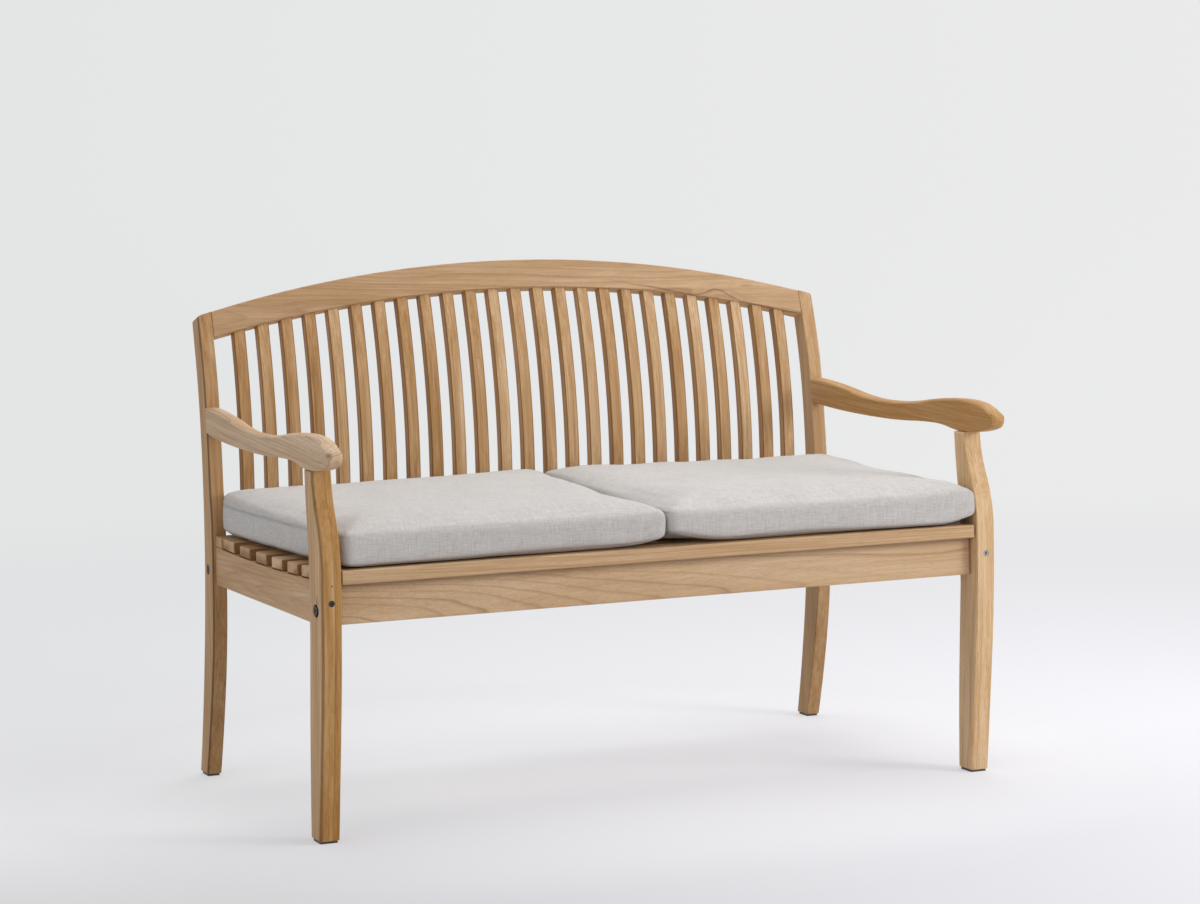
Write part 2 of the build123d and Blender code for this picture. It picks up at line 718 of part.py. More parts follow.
# Glides under the feet, set in a little from the edges of each sole
glides = []
for inner, thickness, sole in (
    (leg_inner, leg_thickness, leg_sole), (post_inner, post_thickness, post_sole),
):
    sole_front = min((sole @ 0).X, (sole @ 1).X)
    sole_back = max((sole @ 0).X, (sole @ 1).X)
    glide = block(
        inner + glide_inset, inner + thickness - glide_inset,
        sole_front + glide_inset, sole_back - glide_inset,
        0, glide_height,
    )
    glides.append(glide)
    glides.append(mirror(glide, about=Plane.YZ))

# Cushions: crowned pads whose sides draw in between their corners, apart from the outer side,
# which swells outwards behind the leg
cushion_outer_front = leg_inner - cushion_side_clearance
cushion_outer_rear = post_inner - cushion_post_clearance
cushion_y0 = cushion_front
cushion_y1 = lower_back_rail_front - cushion_rear_clearance
cushion_bottom = seat_height + cushion_seat_clearance


def bowed(start, end, bow):
    """A side that bows to its left by a distance, or a straight line."""
    if bow == 0:
        return Line(start, end)
    run_x = end[0] - start[0]
    run_y = end[1] - start[1]
    share = bow / math.hypot(run_x, run_y)
    middle = ((start[0] + end[0]) / 2 - run_y * share, (start[1] + end[1]) / 2 + run_x * share)
    return ThreePointArc(start, middle, end)


def cushion_section(inner_front, inner_rear, inset, height, draw, swell):
    """One level outline of a right-hand cushion, anticlockwise from its inner front corner."""
    x0 = inner_front + inset
    x1 = cushion_outer_front - inset
    x2 = cushion_outer_rear - inset
    x3 = inner_rear + inset
    y0 = cushion_y0 + inset
    y1 = cushion_y1 - inset
    r = cushion_corner_radius
    k = r * (1 - math.sqrt(1 / 2))
    knee = y0 + r + cushion_knee_reach
    outline = bowed((x0 + r, y0), (x1 - r, y0), draw)
    outline += ThreePointArc((x1 - r, y0), (x1 - k, y0 + k), (x1, y0 + r))
    outline += Line((x1, y0 + r), (x1, knee))
    outline += bowed((x1, knee), (x2, y1 - r), -swell)
    outline += ThreePointArc((x2, y1 - r), (x2 - k, y1 - k), (x2 - r, y1))
    outline += bowed((x2 - r, y1), (x3 + r, y1), draw)
    outline += ThreePointArc((x3 + r, y1), (x3 + k, y1 - k), (x3, y1 - r))
    outline += bowed((x3, y1 - r), (x0, y0 + r), draw)
    outline += ThreePointArc((x0, y0 + r), (x0 + k, y0 + k), (x0 + r, y0))
    return Pos(0, 0, cushion_bottom + height) * make_face(outline)


def cushion_pad(inner_front, inner_rear):
    """A right-hand cushion with its inner side between two places."""
    sections = []
    for height_share, inset_share in zip(cushion_side_height_shares, cushion_side_inset_shares):
        inset = cushion_edge_inset * inset_share
        height = cushion_edge_height * height_share
        level = (inset, height, cushion_draw_in, cushion_swell)
        sections.append(cushion_section(inner_front, inner_rear, *level))
    for height_share, inset_share in zip(cushion_crown_height_shares, cushion_crown_inset_shares):
        inset = cushion_edge_inset + cushion_crown_inset * inset_share
        height = cushion_edge_height + cushion_crown * height_share
        sections.append(cushion_section(inner_front, inner_rear, inset, height, 0, 0))
    return loft(sections, ruled=True)


half_gap = cushion_gap / 2
cushion_right = cushion_pad(cushion_middle_front + half_gap, cushion_middle_rear + half_gap)
cushion_left = cushion_pad(half_gap - cushion_middle_front, half_gap - cushion_middle_rear)
cushion_left = mirror(cushion_left, about=Plane.YZ)

# Names of every piece
pieces = {}
for name, right in (("front_leg", leg), ("rear_post", post), ("arm", arm), ("side_rail", side_rail)):
    pieces[name + "_right"], pieces[name + "_left"] = right_and_left(right)
pieces["cushion_right"] = cushion_right
pieces["cushion_left"] = cushion_left
pieces["front_apron"] = apron
pieces["rear_seat_rail"] = rear_rail
pieces["seat_bearer"] = bearer
pieces["crest_rail"] = crest
pieces["lower_back_rail"] = lower_back_rail
for i, slat in enumerate(back_slats):
    pieces["back_slat_%02d" % (i + 1)] = slat
for i, slat in enumerate(seat_slats):
    pieces["seat_slat_%02d" % (i + 1)] = slat
for name, group in (("side_bolts", side_bolts), ("face_screws", face_screws), ("glides", glides)):
    pieces[name] = Compound(children=[Part(piece.wrapped) for piece in group])

# The bench is centred front to back over the floor and written out
boxes = [piece.bounding_box() for piece in pieces.values()]
front_most = min(box.min.Y for box in boxes)
rear_most = max(box.max.Y for box in boxes)
centre_shift = -(front_most + rear_most) / 2
os.makedirs("parts", exist_ok=True)
for name, piece in pieces.items():
    placed = Pos(0, centre_shift, 0) * piece
    placed.label = name
    export_step(placed, "parts/" + name + ".step")
print("pieces", len(pieces), "centre shift", round(centre_shift, 3), "seat height", round(seat_height, 3))
print("front", round(front_most, 3), "rear", round(rear_most, 3))
print("top", round(max(box.max.Z for box in boxes), 3), "cushion bottom", round(cushion_bottom, 3))
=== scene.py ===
import math
import bpy
import numpy as np
from mathutils import Matrix, Vector


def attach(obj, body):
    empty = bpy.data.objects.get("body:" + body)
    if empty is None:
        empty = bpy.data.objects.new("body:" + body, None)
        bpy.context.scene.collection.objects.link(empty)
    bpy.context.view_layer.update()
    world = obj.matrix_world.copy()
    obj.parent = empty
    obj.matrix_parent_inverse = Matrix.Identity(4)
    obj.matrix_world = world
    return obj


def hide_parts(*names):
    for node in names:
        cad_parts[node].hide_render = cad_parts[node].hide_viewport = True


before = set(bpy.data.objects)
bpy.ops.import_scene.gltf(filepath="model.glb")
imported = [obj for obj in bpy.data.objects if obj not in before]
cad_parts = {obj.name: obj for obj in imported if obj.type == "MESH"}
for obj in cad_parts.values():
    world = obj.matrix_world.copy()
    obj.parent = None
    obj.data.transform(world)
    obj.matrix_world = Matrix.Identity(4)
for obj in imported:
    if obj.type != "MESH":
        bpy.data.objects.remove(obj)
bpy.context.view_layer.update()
scene = bpy.context.scene

# Every length is in metres. Depths are first measured back from the front of the front
# feet, as a maker sets the bench out, and BACK carries them to the shared frame.
BACK = -0.295355
BENCH = "bench"
X_AXIS = np.array((1.0, 0.0, 0.0))
Y_AXIS = np.array((0.0, 1.0, 0.0))
Z_AXIS = np.array((0.0, 0.0, 1.0))

# Setting out of the bench
half_length = 0.6015
leg_thickness = 0.034
post_thickness = 0.0265
leg_inner = half_length - leg_thickness
post_inner = half_length - post_thickness
rail_underside = 0.3415
side_rail_outer = 0.595
side_rail_inner = 0.574
leg_shoulder = 0.024475
post_shoulder = 0.557
apron_front = -0.014
glide_height = 0.004


# ---- curves
def towards(degrees):
    """Unit direction of depth and height at an angle, 90 being straight up."""
    turn = math.radians(degrees)
    return np.array((math.cos(turn), math.sin(turn)))


def arc(start, degrees, end, count):
    """Points on the arc that leaves start along a direction and meets end. At a share s of
    the arc its chord is the whole chord times sin(s a) / sin(a), turned by s a from the
    first direction, where a is the angle from that direction to the whole chord."""
    start = np.asarray(start, float)
    chord = np.asarray(end, float) - start
    a = math.atan2(chord[1], chord[0]) - math.radians(degrees)
    a = (a + math.pi) % (2 * math.pi) - math.pi
    s = np.linspace(0, 1, count, endpoint=False)
    reach = s if abs(a) < 1e-6 else np.sin(s * a) / math.sin(a)
    turn = math.radians(degrees) + s * a
    length = math.hypot(chord[0], chord[1])
    points = start + length * reach[:, None] * np.stack((np.cos(turn), np.sin(turn)), 1)
    return points, degrees + 2 * math.degrees(a)


def two_arcs(start, start_degrees, end, end_degrees, count=10):
    """Two arcs that join two points and are tangent to a direction at each: they meet
    where the two equal tangent lengths, laid off from the ends, have their middle."""
    p0 = np.asarray(start, float)
    p1 = np.asarray(end, float)
    t0 = towards(start_degrees)
    t1 = towards(end_degrees)
    chord = p1 - p0
    spread = 2 * (1 - t0 @ t1)
    along = chord @ (t0 + t1)
    if spread < 1e-9:
        reach = chord @ chord / (4 * (chord @ t1))
    else:
        reach = (math.sqrt(along * along + spread * (chord @ chord)) - along) / spread
    joint = (p0 + p1 + (t0 - t1) * reach) / 2
    first, heading = arc(p0, start_degrees, joint, count)
    second, heading = arc(joint, heading, p1, count)
    return np.concatenate((first, second))


def smooth_run(depths, heights, degrees, count=10):
    """A smooth outline through stations of depth, height and direction, two arcs between
    each pair, with the last station added at the end."""
    pieces = []
    for i in range(len(degrees) - 1):
        start = (depths[i], heights[i])
        end = (depths[i + 1], heights[i + 1])
        pieces.append(two_arcs(start, degrees[i], end, degrees[i + 1], count))
    pieces.append(np.array([(depths[-1], heights[-1])]))
    return np.concatenate(pieces)


def shared(low, span, shares):
    """Places at shares of a span above a low value."""
    return low + span * np.array(shares)


def rounded(corners, radii, count=5):
    """A closed outline whose corners are arcs: seen from an arc's centre, its points turn
    from a to b, the tangent points, as (sin((1 - s) w) a + sin(s w) b) / sin w at a share s
    of the whole turn w."""
    corners = np.asarray(corners, float)
    before = np.roll(corners, 1, 0) - corners
    after = np.roll(corners, -1, 0) - corners
    before /= np.linalg.norm(before, axis=1)[:, None]
    after /= np.linalg.norm(after, axis=1)[:, None]
    half = np.arccos(np.clip((before * after).sum(1), -1, 1)) / 2
    radii = np.asarray(radii, float) * np.ones(len(corners))
    bisector = before + after
    bisector /= np.linalg.norm(bisector, axis=1)[:, None]
    centre = corners + bisector * (radii / np.sin(half))[:, None]
    a = corners + before * (radii / np.tan(half))[:, None] - centre
    b = corners + after * (radii / np.tan(half))[:, None] - centre
    turn = math.pi - 2 * half
    s = np.linspace(0, 1, count)[None, :, None]
    w = np.maximum(turn, 1e-6)[:, None, None]
    points = (np.sin((1 - s) * w) * a[:, None] + np.sin(s * w) * b[:, None]) / np.sin(w)
    return (centre[:, None] + points).reshape(-1, 2)


def thinned(outline, least=2e-5):
    """A closed outline without points that lie on the one before them."""
    step = np.linalg.norm(outline - np.roll(outline, 1, 0), axis=1)
    return outline[step > least]


# ---- surfaces
def mitres(outline):
    """Outward normals of a closed outline at its points, made longer at corners so that
    an inset keeps its width: the sum of the two edge normals over one plus their product."""
    step = np.roll(outline, -1, 0) - outline
    step /= np.linalg.norm(step, axis=1)[:, None]
    normal = np.stack((step[:, 1], -step[:, 0]), 1)
    x, y = outline.T
    if (x * np.roll(y, -1) - y * np.roll(x, -1)).sum() < 0:
        normal = -normal
    last = np.roll(normal, 1, 0)
    return (normal + last) / (1 + (normal * last).sum(1))[:, None].clip(0.5)


def closed_mesh(name, rings):
    """A closed skin over rings of points: ring j and place i on it are the two parameters,
    quads join neighbours and one flat face closes each end."""
    rings = np.asarray(rings, float)
    ring_count, count = rings.shape[:2]
    points = rings.reshape(-1, 3)
    start = np.arange(ring_count * count).reshape(ring_count, count)
    turned = np.roll(start, -1, 1)
    quads = np.stack((start[:-1], turned[:-1], turned[1:], start[1:]), 2).reshape(-1, 4)
    a, b, c, d = (points[quads[:, k]] for k in range(4))
    middle = points.mean(0)
    volume = ((np.cross(b - a, c - a) + np.cross(c - a, d - a)) * (a - middle)).sum()
    faces = quads.tolist() + [start[0, ::-1].tolist(), start[-1].tolist()]
    if volume < 0:
        faces = [face[::-1] for face in faces]
    mesh = bpy.data.meshes.new(name)
    mesh.from_pydata(points.tolist(), [], faces)
    mesh.update()
    return mesh


def stood(data, name):
    """An object at the origin for a mesh, a lamp or the camera, linked to the scene."""
    piece = bpy.data.objects.new(name, data)
    scene.collection.objects.link(piece)
    return piece


def worked_in(piece):
    """Replaces a piece's mesh by what its modifiers make of it, and takes them off."""
    graph = bpy.context.evaluated_depsgraph_get()
    mesh = bpy.data.meshes.new_from_object(piece.evaluated_get(graph))
    piece.modifiers.clear()
    piece.data = mesh
    return mesh


def read(mesh, quantity="co"):
    """Places or normals of a mesh's points, one row each."""
    values = np.empty(len(mesh.vertices) * 3)
    mesh.vertices.foreach_get(quantity, values)
    return values.reshape(-1, 3)


def write(mesh, points):
    """Moves a mesh's points to new places."""
    mesh.vertices.foreach_set("co", points.ravel())
    mesh.update()


def note(mesh, name, values):
    """Keeps a number or a vector with every point of a mesh, for its material to read."""
    kind, field = ("FLOAT", "value") if values.ndim == 1 else ("FLOAT_VECTOR", "vector")
    mesh.attributes.new(name, kind, "POINT").data.foreach_set(field, values.ravel())


def edge_profile(edge, count=4):
    """Depths from a face and insets of a rounded edge: depth e (1 - cos p) and inset
    e (1 - sin p) for p from 0 to a quarter turn."""
    p = np.linspace(0, math.pi / 2, count + 1)
    return edge * (1 - np.cos(p)), edge * (1 - np.sin(p))


def board_rings(outline, low, high, edge, origin, across, upward, through, stations=()):
    """Rings of a board: a closed outline carried through the thickness from low to high,
    shrunk along its mitres near both faces by the rounded edge."""
    depth, inset = edge_profile(edge)
    places = np.concatenate((low + depth, stations, (high - depth)[::-1]))
    insets = np.concatenate((inset, np.zeros(len(stations)), inset[::-1]))
    flat = outline[None] - mitres(outline)[None] * insets[:, None, None]
    return (origin + flat[..., :1] * across + flat[..., 1:] * upward
        + places[:, None, None] * through)


def side_board(outline, low, high, edge, stations=()):
    """A board cut to a side outline of depth and height, from X = low to X = high."""
    return board_rings(outline, low, high, edge, BACK * Y_AXIS, Y_AXIS, Z_AXIS, X_AXIS, stations)


def mirrored(rings):
    """The same surface on the other side of the bench."""
    return rings * np.array((-1.0, 1.0, 1.0))


# ---- grain of each board
log_step = 3.17
face_depth = 0.0004
corner_depth = 0.0016
edge_depth = 0.0022


def lay_grain(mesh, along, side, seed, pith, slope, tone, rich, shade):
    """Gives every point its place in the log that the board was sawn from: distances from
    the pith along two directions across the board and a distance along it. The pith line
    slopes against the board, and curves away by the third slope times the distance squared.
    Tone and rich are the same all over the board, but the faces along X and Y, the rounded
    corners beside the X faces and the richness of the X faces have their own amounts, used for
    painted light and shade: faces lighter or darker and dark corner lines where light falls differently."""
    points = read(mesh)
    along = along / np.linalg.norm(along)
    side = side - along * (side @ along)
    side /= np.linalg.norm(side)
    from_middle = points - (points.min(0) + points.max(0)) / 2
    length = from_middle @ along
    slope_u, slope_v, curve = (*slope, 0.0)[:3]
    u = from_middle @ side + pith[0] + slope_u * length
    v = from_middle @ np.cross(along, side) + pith[1] + slope_v * length + curve * length ** 2
    note(mesh, "grain", np.stack((u, v, length + seed * log_step), 1))
    # Painted light and shade: own tones for the X faces, the corners beside them and the Y faces
    short_x, short_y = (np.abs(from_middle).max(0) - np.abs(from_middle)).T[:2]
    on_face = short_x < face_depth
    on_corner = (short_x >= face_depth) & (short_x < corner_depth)
    note(mesh, "tone", tone + on_face * shade.get("face", 0.0) + on_corner * shade.get("corner", 0.0)
        + (short_y < edge_depth) * shade.get("edge", 0.0))
    note(mesh, "rich", rich + on_face * shade.get("face_rich", 0.0))


def timber(node, rings, finish, along, side, seed, pith, slope=(0, 0), tone=0.0, rich=1.0,
        drills=(), shade={}):
    """One wooden piece in the place of its CAD node."""
    name = node + "_shaped"
    piece = stood(closed_mesh(name, rings), name)
    for cutter in drills:
        cut = piece.modifiers.new("drill", "BOOLEAN")
        cut.operation = "DIFFERENCE"
        cut.solver = "EXACT"
        cut.object = cutter
    if drills:
        worked_in(piece).materials.clear()
    lay_grain(piece.data, along, side, seed, pith, slope, tone, rich, shade)
    piece.data.shade_smooth()
    piece.data.set_sharp_from_angle(angle=math.radians(32))
    piece.data.materials.append(finish)
    piece.modifiers.new("even_shading", "WEIGHTED_NORMAL").keep_sharp = True
    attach(piece, BENCH)
    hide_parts(node)


# ---- materials
class Recipe:
    """Small helper that adds nodes to a new material or world and joins them."""

    def __init__(self, owner):
        owner.use_nodes = True
        self.owner = owner
        self.tree = owner.node_tree

    def add(self, kind, inputs=None, **settings):
        node = self.tree.nodes.new("ShaderNode" + kind)
        for key, value in settings.items():
            setattr(node, key, value)
        for key, value in (inputs or {}).items():
            self.put(node.inputs[key], value)
        return node

    def put(self, socket, value):
        if isinstance(value, bpy.types.NodeSocket):
            self.tree.links.new(value, socket)
        else:
            socket.default_value = value

    def shade(self, values):
        for key, value in values.items():
            self.put(self.tree.nodes["Principled BSDF"].inputs[key], value)

    def attribute(self, name, kind="Fac"):
        return self.add("Attribute", attribute_name=name, attribute_type="GEOMETRY").outputs[kind]

    def place(self):
        """The point's place in the bench's own frame."""
        return self.add("TexCoord").outputs["Object"]

    def parts(self, vector):
        return self.add("SeparateXYZ", {0: vector}).outputs

    def maths(self, operation, a, b=0.0):
        return self.add("Math", {0: a, 1: b}, operation=operation).outputs[0]

    def plus(self, a, b):
        return self.maths("ADD", a, b)

    def less(self, a, b):
        return self.maths("SUBTRACT", a, b)

    def times(self, a, b):
        return self.maths("MULTIPLY", a, b)

    def off(self, a, b):
        """How far one value lies from another."""
        return self.maths("ABSOLUTE", self.less(a, b))

    def bell(self, value):
        """e to the power of minus the square of a value."""
        return self.maths("POWER", 2.718, self.times(self.times(value, value), -1.0))

    def vector(self, operation, a, b=(0, 0, 0)):
        node = self.add("VectorMath", {0: a, 1: b}, operation=operation)
        return node.outputs["Value" if operation == "LENGTH" else "Vector"]

    def stretch(self, vector, scale):
        return self.vector("MULTIPLY", vector, scale)

    def away(self, place, centre, size):
        """Distance from a centre in half sizes of an ellipsoid."""
        offset = self.vector("SUBTRACT", place, centre)
        return self.vector("LENGTH", self.stretch(offset, [1 / s for s in size]))

    def noise(self, vector, scale, detail=2.0, roughness=0.5, kind="Fac"):
        """Noise on coordinates stretched by three scales."""
        return self.add("TexNoise", {"Vector": self.stretch(vector, scale), "Scale": 1.0,
            "Detail": detail, "Roughness": roughness}).outputs[kind]

    def spread(self, value, low, high, to_low=0.0, to_high=1.0):
        return self.add("MapRange", {"Value": value, "From Min": low, "From Max": high,
            "To Min": to_low, "To Max": to_high}).outputs[0]

    def blend(self, share, a, b, kind="MIX"):
        return self.add("Mix", data_type="RGBA", blend_type=kind, clamp_factor=True,
            inputs={0: share, 6: a, 7: b}).outputs[2]

    def ramp(self, value, stops):
        node = self.add("ValToRGB", {"Fac": value})
        ramp = node.color_ramp
        while len(ramp.elements) < len(stops):
            ramp.elements.new(0.5)
        for element, (place, colour) in zip(ramp.elements, stops):
            element.position = place
            element.color = (*colour, 1)
        return node.outputs["Color"]

    def bump(self, height, strength, distance):
        node = self.add("Bump", {"Height": height, "Strength": strength, "Distance": distance})
        self.shade({"Normal": node.outputs["Normal"]})


def teak(name, knots=(), marks_and_recess_shade=(), strip=None, corner=None, under=None, vein=None, underside_light=0.0,
        ring=0.0042, wander=0.016, contrast=1.0, lines=0.5, soft_line=0.45):
    """Teak cut from a log: growth rings are steps of the distance from the pith, bent by
    slow noise and swept round knots, with streaks, fibres and pores drawn out along the
    grain. Strip is a second stave glued on beyond an X, corner a dark line along an outer
    corner, under a painted shadow in a darker band below an overhang, the underside amount
    painted light that makes faces turned down lighter and richer, vein a dark line that falls
    along the board over one hump, and each mark is a small spot, a crack, or painted shade
    round a recess."""
    wood = Recipe(bpy.data.materials.new(name))
    grain = wood.attribute("grain", "Vector")
    tone = wood.attribute("tone")
    rich = wood.attribute("rich")
    place = wood.place()
    place_x, place_z = wood.parts(place)["X"], wood.parts(place)["Z"]
    dark_lines = []
    if strip:
        edge, strip_tone = strip
        beyond = wood.maths("GREATER_THAN", place_x, edge)
        moved = wood.add("CombineXYZ", {0: wood.times(beyond, 0.031), 2: wood.times(beyond, 1.3)})
        grain = wood.vector("ADD", grain, moved.outputs[0])
        tone = wood.plus(tone, wood.times(beyond, strip_tone))
        dark_lines.append(wood.spread(wood.off(place_x, edge), 0.0, 0.0006, 0.5, 0.0))
    if corner:
        low, high, dark = corner
        width = high - low
        dark_lines.append(wood.spread(wood.off(place_x, (low + high) / 2), width * 0.2, width / 2, dark, 0.0))
    if underside_light:
        # Painted light: faces turned down come out lighter and richer
        facing_up = wood.parts(wood.add("NewGeometry").outputs["Normal"])["Z"]
        down = wood.spread(facing_up, -0.7, -0.9)
        tone = wood.plus(tone, wood.times(down, underside_light))
        rich = wood.plus(rich, wood.times(down, 0.35))
    # Painted shadow: a darker band over a range of heights below an overhang
    if under:
        low, high, dark = under
        dark_lines.append(wood.spread(place_z, low, high, 0.0, dark))
    slow = wood.noise(grain, (11, 11, 1.7), 1.5, kind="Color")
    slow = wood.stretch(wood.vector("SUBTRACT", slow, (0.5, 0.5, 0.5)), (wander * 2, wander * 2, 0))
    fine = wood.noise(grain, (70, 70, 5))
    radius = wood.vector("LENGTH", wood.stretch(wood.vector("ADD", grain, slow), (1, 1, 0)))
    radius = wood.plus(radius, wood.spread(fine, 0, 1, -0.0016, 0.0016))
    if vein:
        vein_x, vein_z, falling, hump_height, hump_width, reach, dark = vein
        along = wood.less(place_x, vein_x)
        hump = wood.times(wood.bell(wood.maths("DIVIDE", along, hump_width)), hump_height)
        height = wood.plus(hump, wood.plus(wood.times(along, falling), vein_z))
        height = wood.plus(height, wood.spread(fine, 0.3, 0.7, -0.0015, 0.0015))
        on_vein = wood.spread(wood.off(place_z, height), 0.0006, 0.0026, dark, 0.0)
        within = wood.spread(wood.maths("ABSOLUTE", along), reach * 0.6, reach, 1.0, 0.0)
        dark_lines.append(wood.times(on_vein, within))
    for centre, size, pull, dark in knots:
        away = wood.away(place, centre, size)
        radius = wood.plus(radius, wood.times(wood.bell(away), pull))
        if dark:
            dark_lines.append(wood.spread(away, 0.1, 0.34, dark, 0.0))
    # Each mark darkens a small ellipsoid: real spots and cracks, and painted shade round a recess
    for centre, size, dark in marks_and_recess_shade:
        dark_lines.append(wood.spread(wood.away(place, centre, size), 0.5, 1.0, dark, 0.0))
    phase = wood.maths("DIVIDE", radius, ring)
    chance = wood.add("TexWhiteNoise", {"W": wood.maths("FLOOR", phase)}, noise_dimensions="1D")
    darkness = ((0.0, 0.1), (soft_line, 0.12), (0.84, 0.62), (0.93, 1), (1.0, 0.08))
    late = wood.ramp(wood.maths("FRACT", phase), [(share, (dark,) * 3) for share, dark in darkness])
    late = wood.times(late, wood.spread(chance.outputs["Value"], 0, 1, 0.15, 1.0))
    fibre = wood.noise(grain, (900, 900, 15), 3, 0.6)
    streak = wood.noise(grain, (230, 230, 3), 2.5, 0.6)
    band = wood.noise(grain, (62, 62, 1.3))
    pore = wood.spread(wood.noise(grain, (1400, 1400, 60), 1), 0.62, 0.72)
    broad = wood.noise(grain, (8, 8, 1.1))
    value = wood.plus(wood.spread(broad, 0.3, 0.7, 0.36, 0.64), tone)
    value = wood.plus(value, wood.spread(streak, 0.25, 0.75, -0.17 * contrast, 0.17 * contrast))
    value = wood.plus(value, wood.spread(band, 0.3, 0.7, -0.13 * contrast, 0.13 * contrast))
    base = wood.ramp(value, ((0.0, (0.235, 0.112, 0.038)), (0.3, (0.405, 0.228, 0.098)),
        (0.62, (0.53, 0.342, 0.185)), (1.0, (0.70, 0.515, 0.34))))
    colour = wood.blend(wood.times(late, lines), base, (0.27, 0.135, 0.052, 1))
    light = wood.spread(fibre, 0.3, 0.7, 0.9, 1.09)
    light = wood.add("CombineColor", {0: light, 1: light, 2: light}).outputs[0]
    colour = wood.blend(1.0, colour, light, "MULTIPLY")
    colour = wood.blend(wood.times(pore, 0.35), colour, (0.2, 0.11, 0.055, 1))
    colour = wood.add("HueSaturation", {"Color": colour, "Saturation": rich}).outputs[0]
    # Real dark lines and marks, and the painted shadow band and painted recess shade, all darken towards one
    # brown
    for line in dark_lines:
        colour = wood.blend(line, colour, (0.095, 0.048, 0.022, 1))
    wood.shade({"Base Color": colour, "Roughness": wood.spread(fibre, 0.2, 0.8, 0.48, 0.66),
        "Specular IOR Level": 0.35})
    height = wood.less(wood.times(fibre, 0.35), wood.times(late, 0.3))
    wood.bump(wood.less(height, wood.times(pore, 0.6)), 0.35, 0.0004)
    return wood.owner


def linen(name):
    """Heathered linen weave: two sets of uneven threads crossing on the piece's own weave
    coordinates, each thread a thin stretched noise, with slubs and soft mottling, and with
    painted shade that darkens the upright sides and the seams."""
    cloth = Recipe(bpy.data.materials.new(name))
    weave = cloth.attribute("weave", "Vector")
    warp = cloth.noise(weave, (1150, 52, 30), 2, 0.6)
    threads = cloth.plus(warp, cloth.noise(weave, (52, 1150, 30), 2, 0.6))
    slubs = cloth.plus(cloth.noise(weave, (460, 14, 9)), cloth.noise(weave, (14, 460, 9)))
    mottle = cloth.noise(weave, (11, 11, 11), 3)
    value = cloth.plus(cloth.times(threads, 0.66), cloth.times(slubs, 0.14))
    value = cloth.plus(value, cloth.times(mottle, 0.08))
    colour = cloth.ramp(cloth.spread(value, 0.6, 1.08),
        ((0.0, (0.385, 0.365, 0.347)), (0.35, (0.492, 0.469, 0.450)),
        (0.6, (0.552, 0.531, 0.514)), (1.0, (0.655, 0.636, 0.618))))
    # Painted shade: the upright sides of the cushion come out darker than its top
    colour = cloth.blend(cloth.attribute("wall_shade"), colour, (0.93, 0.922, 0.915, 1), "MULTIPLY")
    # Painted shade in the seams, which are also pressed in
    colour = cloth.blend(cloth.times(cloth.attribute("seam"), 0.8), colour, (0.27, 0.25, 0.235, 1))
    cloth.shade({"Base Color": colour, "Roughness": cloth.spread(threads, 0.6, 1.4, 0.82, 0.96),
        "Specular IOR Level": 0.2, "Sheen Weight": 0.25, "Sheen Roughness": 0.5})
    cloth.bump(cloth.plus(threads, cloth.times(slubs, 0.6)), 0.5, 0.0006)
    return cloth.owner


def steel(name, colour, roughness, metallic, right_reflection=None):
    """Zinc-plated steel: brushed metal with fine scratches and slight blotches, and a lighter
    colour on the right of the bench that is a painted reflection."""
    metal = Recipe(bpy.data.materials.new(name))
    place = metal.place()
    scratch = metal.noise(place, (900, 5000, 900))
    blotch = metal.noise(place, (320, 320, 320), 3)
    tint = metal.blend(metal.spread(blotch, 0.35, 0.7), (*[c * 0.6 for c in colour], 1), (*colour, 1))
    if right_reflection:
        # Painted reflection: pieces on the right of the bench take the lighter colour
        right = metal.maths("GREATER_THAN", metal.parts(place)["X"], 0.0)
        tint = metal.blend(right, tint, (*right_reflection, 1))
    metal.shade({"Base Color": tint, "Metallic": metallic,
        "Roughness": metal.spread(scratch, 0.3, 0.7, roughness, roughness + 0.2)})
    metal.bump(scratch, 0.2, 0.0001)
    return metal.owner


def plastic(name, colour):
    """Moulded plastic with a fine matt texture."""
    pad = Recipe(bpy.data.materials.new(name))
    fine = pad.noise(pad.place(), (1800, 1800, 1800))
    pad.shade({"Base Color": pad.blend(fine, (*[c * 0.8 for c in colour], 1), (*colour, 1)),
        "Roughness": pad.spread(fine, 0.3, 0.7, 0.5, 0.65)})
    pad.bump(fine, 0.15, 0.0002)
    return pad.owner


left_edge = -half_length
plain_teak = teak("teak")
slat_mark = ((-0.088, 0.585 + BACK, 0.710), (0.0035, 0.02, 0.0012), 0.6)
slat_teak = teak("slat_teak", marks_and_recess_shade=(slat_mark,), contrast=1.25)
left_post_teak = teak("left_post_teak", corner=(left_edge, left_edge + 0.004, 0.8))
dark_steel = steel("dark_steel", (0.035, 0.04, 0.045), 0.4, 0.5)
# The right-hand screws' lighter colour is a painted reflection
screw_steel = steel("screw_steel", (0.075, 0.08, 0.09), 0.35, 0.85, (0.3, 0.32, 0.35))
glide_plastic = plastic("glide_plastic", (0.06, 0.055, 0.05))
linen_cloth = linen("linen")

# ---- arm and leg outlines
arm_front = -0.078
arm_length = 0.668
arm_base = 0.581
arm_range = 0.0645
arm_top_run = smooth_run(
    shared(arm_front, arm_length, (1, 0.94, 0.545, 0.147, 0.027, 0)),
    shared(arm_base, arm_range, (1, 0.995, 0.605, 0.878, 0.655, 0.44)),
    (180, 184, 180, 180, 206, 270),
)
arm_under_run = smooth_run(
    shared(arm_front, arm_length, (0, 0.065, 0.13, 0.305, 0.53, 1)),
    shared(arm_base, arm_range, (0.44, 0.07, 0.01, 0.152, 0.095, 0.32)),
    (270, 350, 358, 360, 360, 366),
)


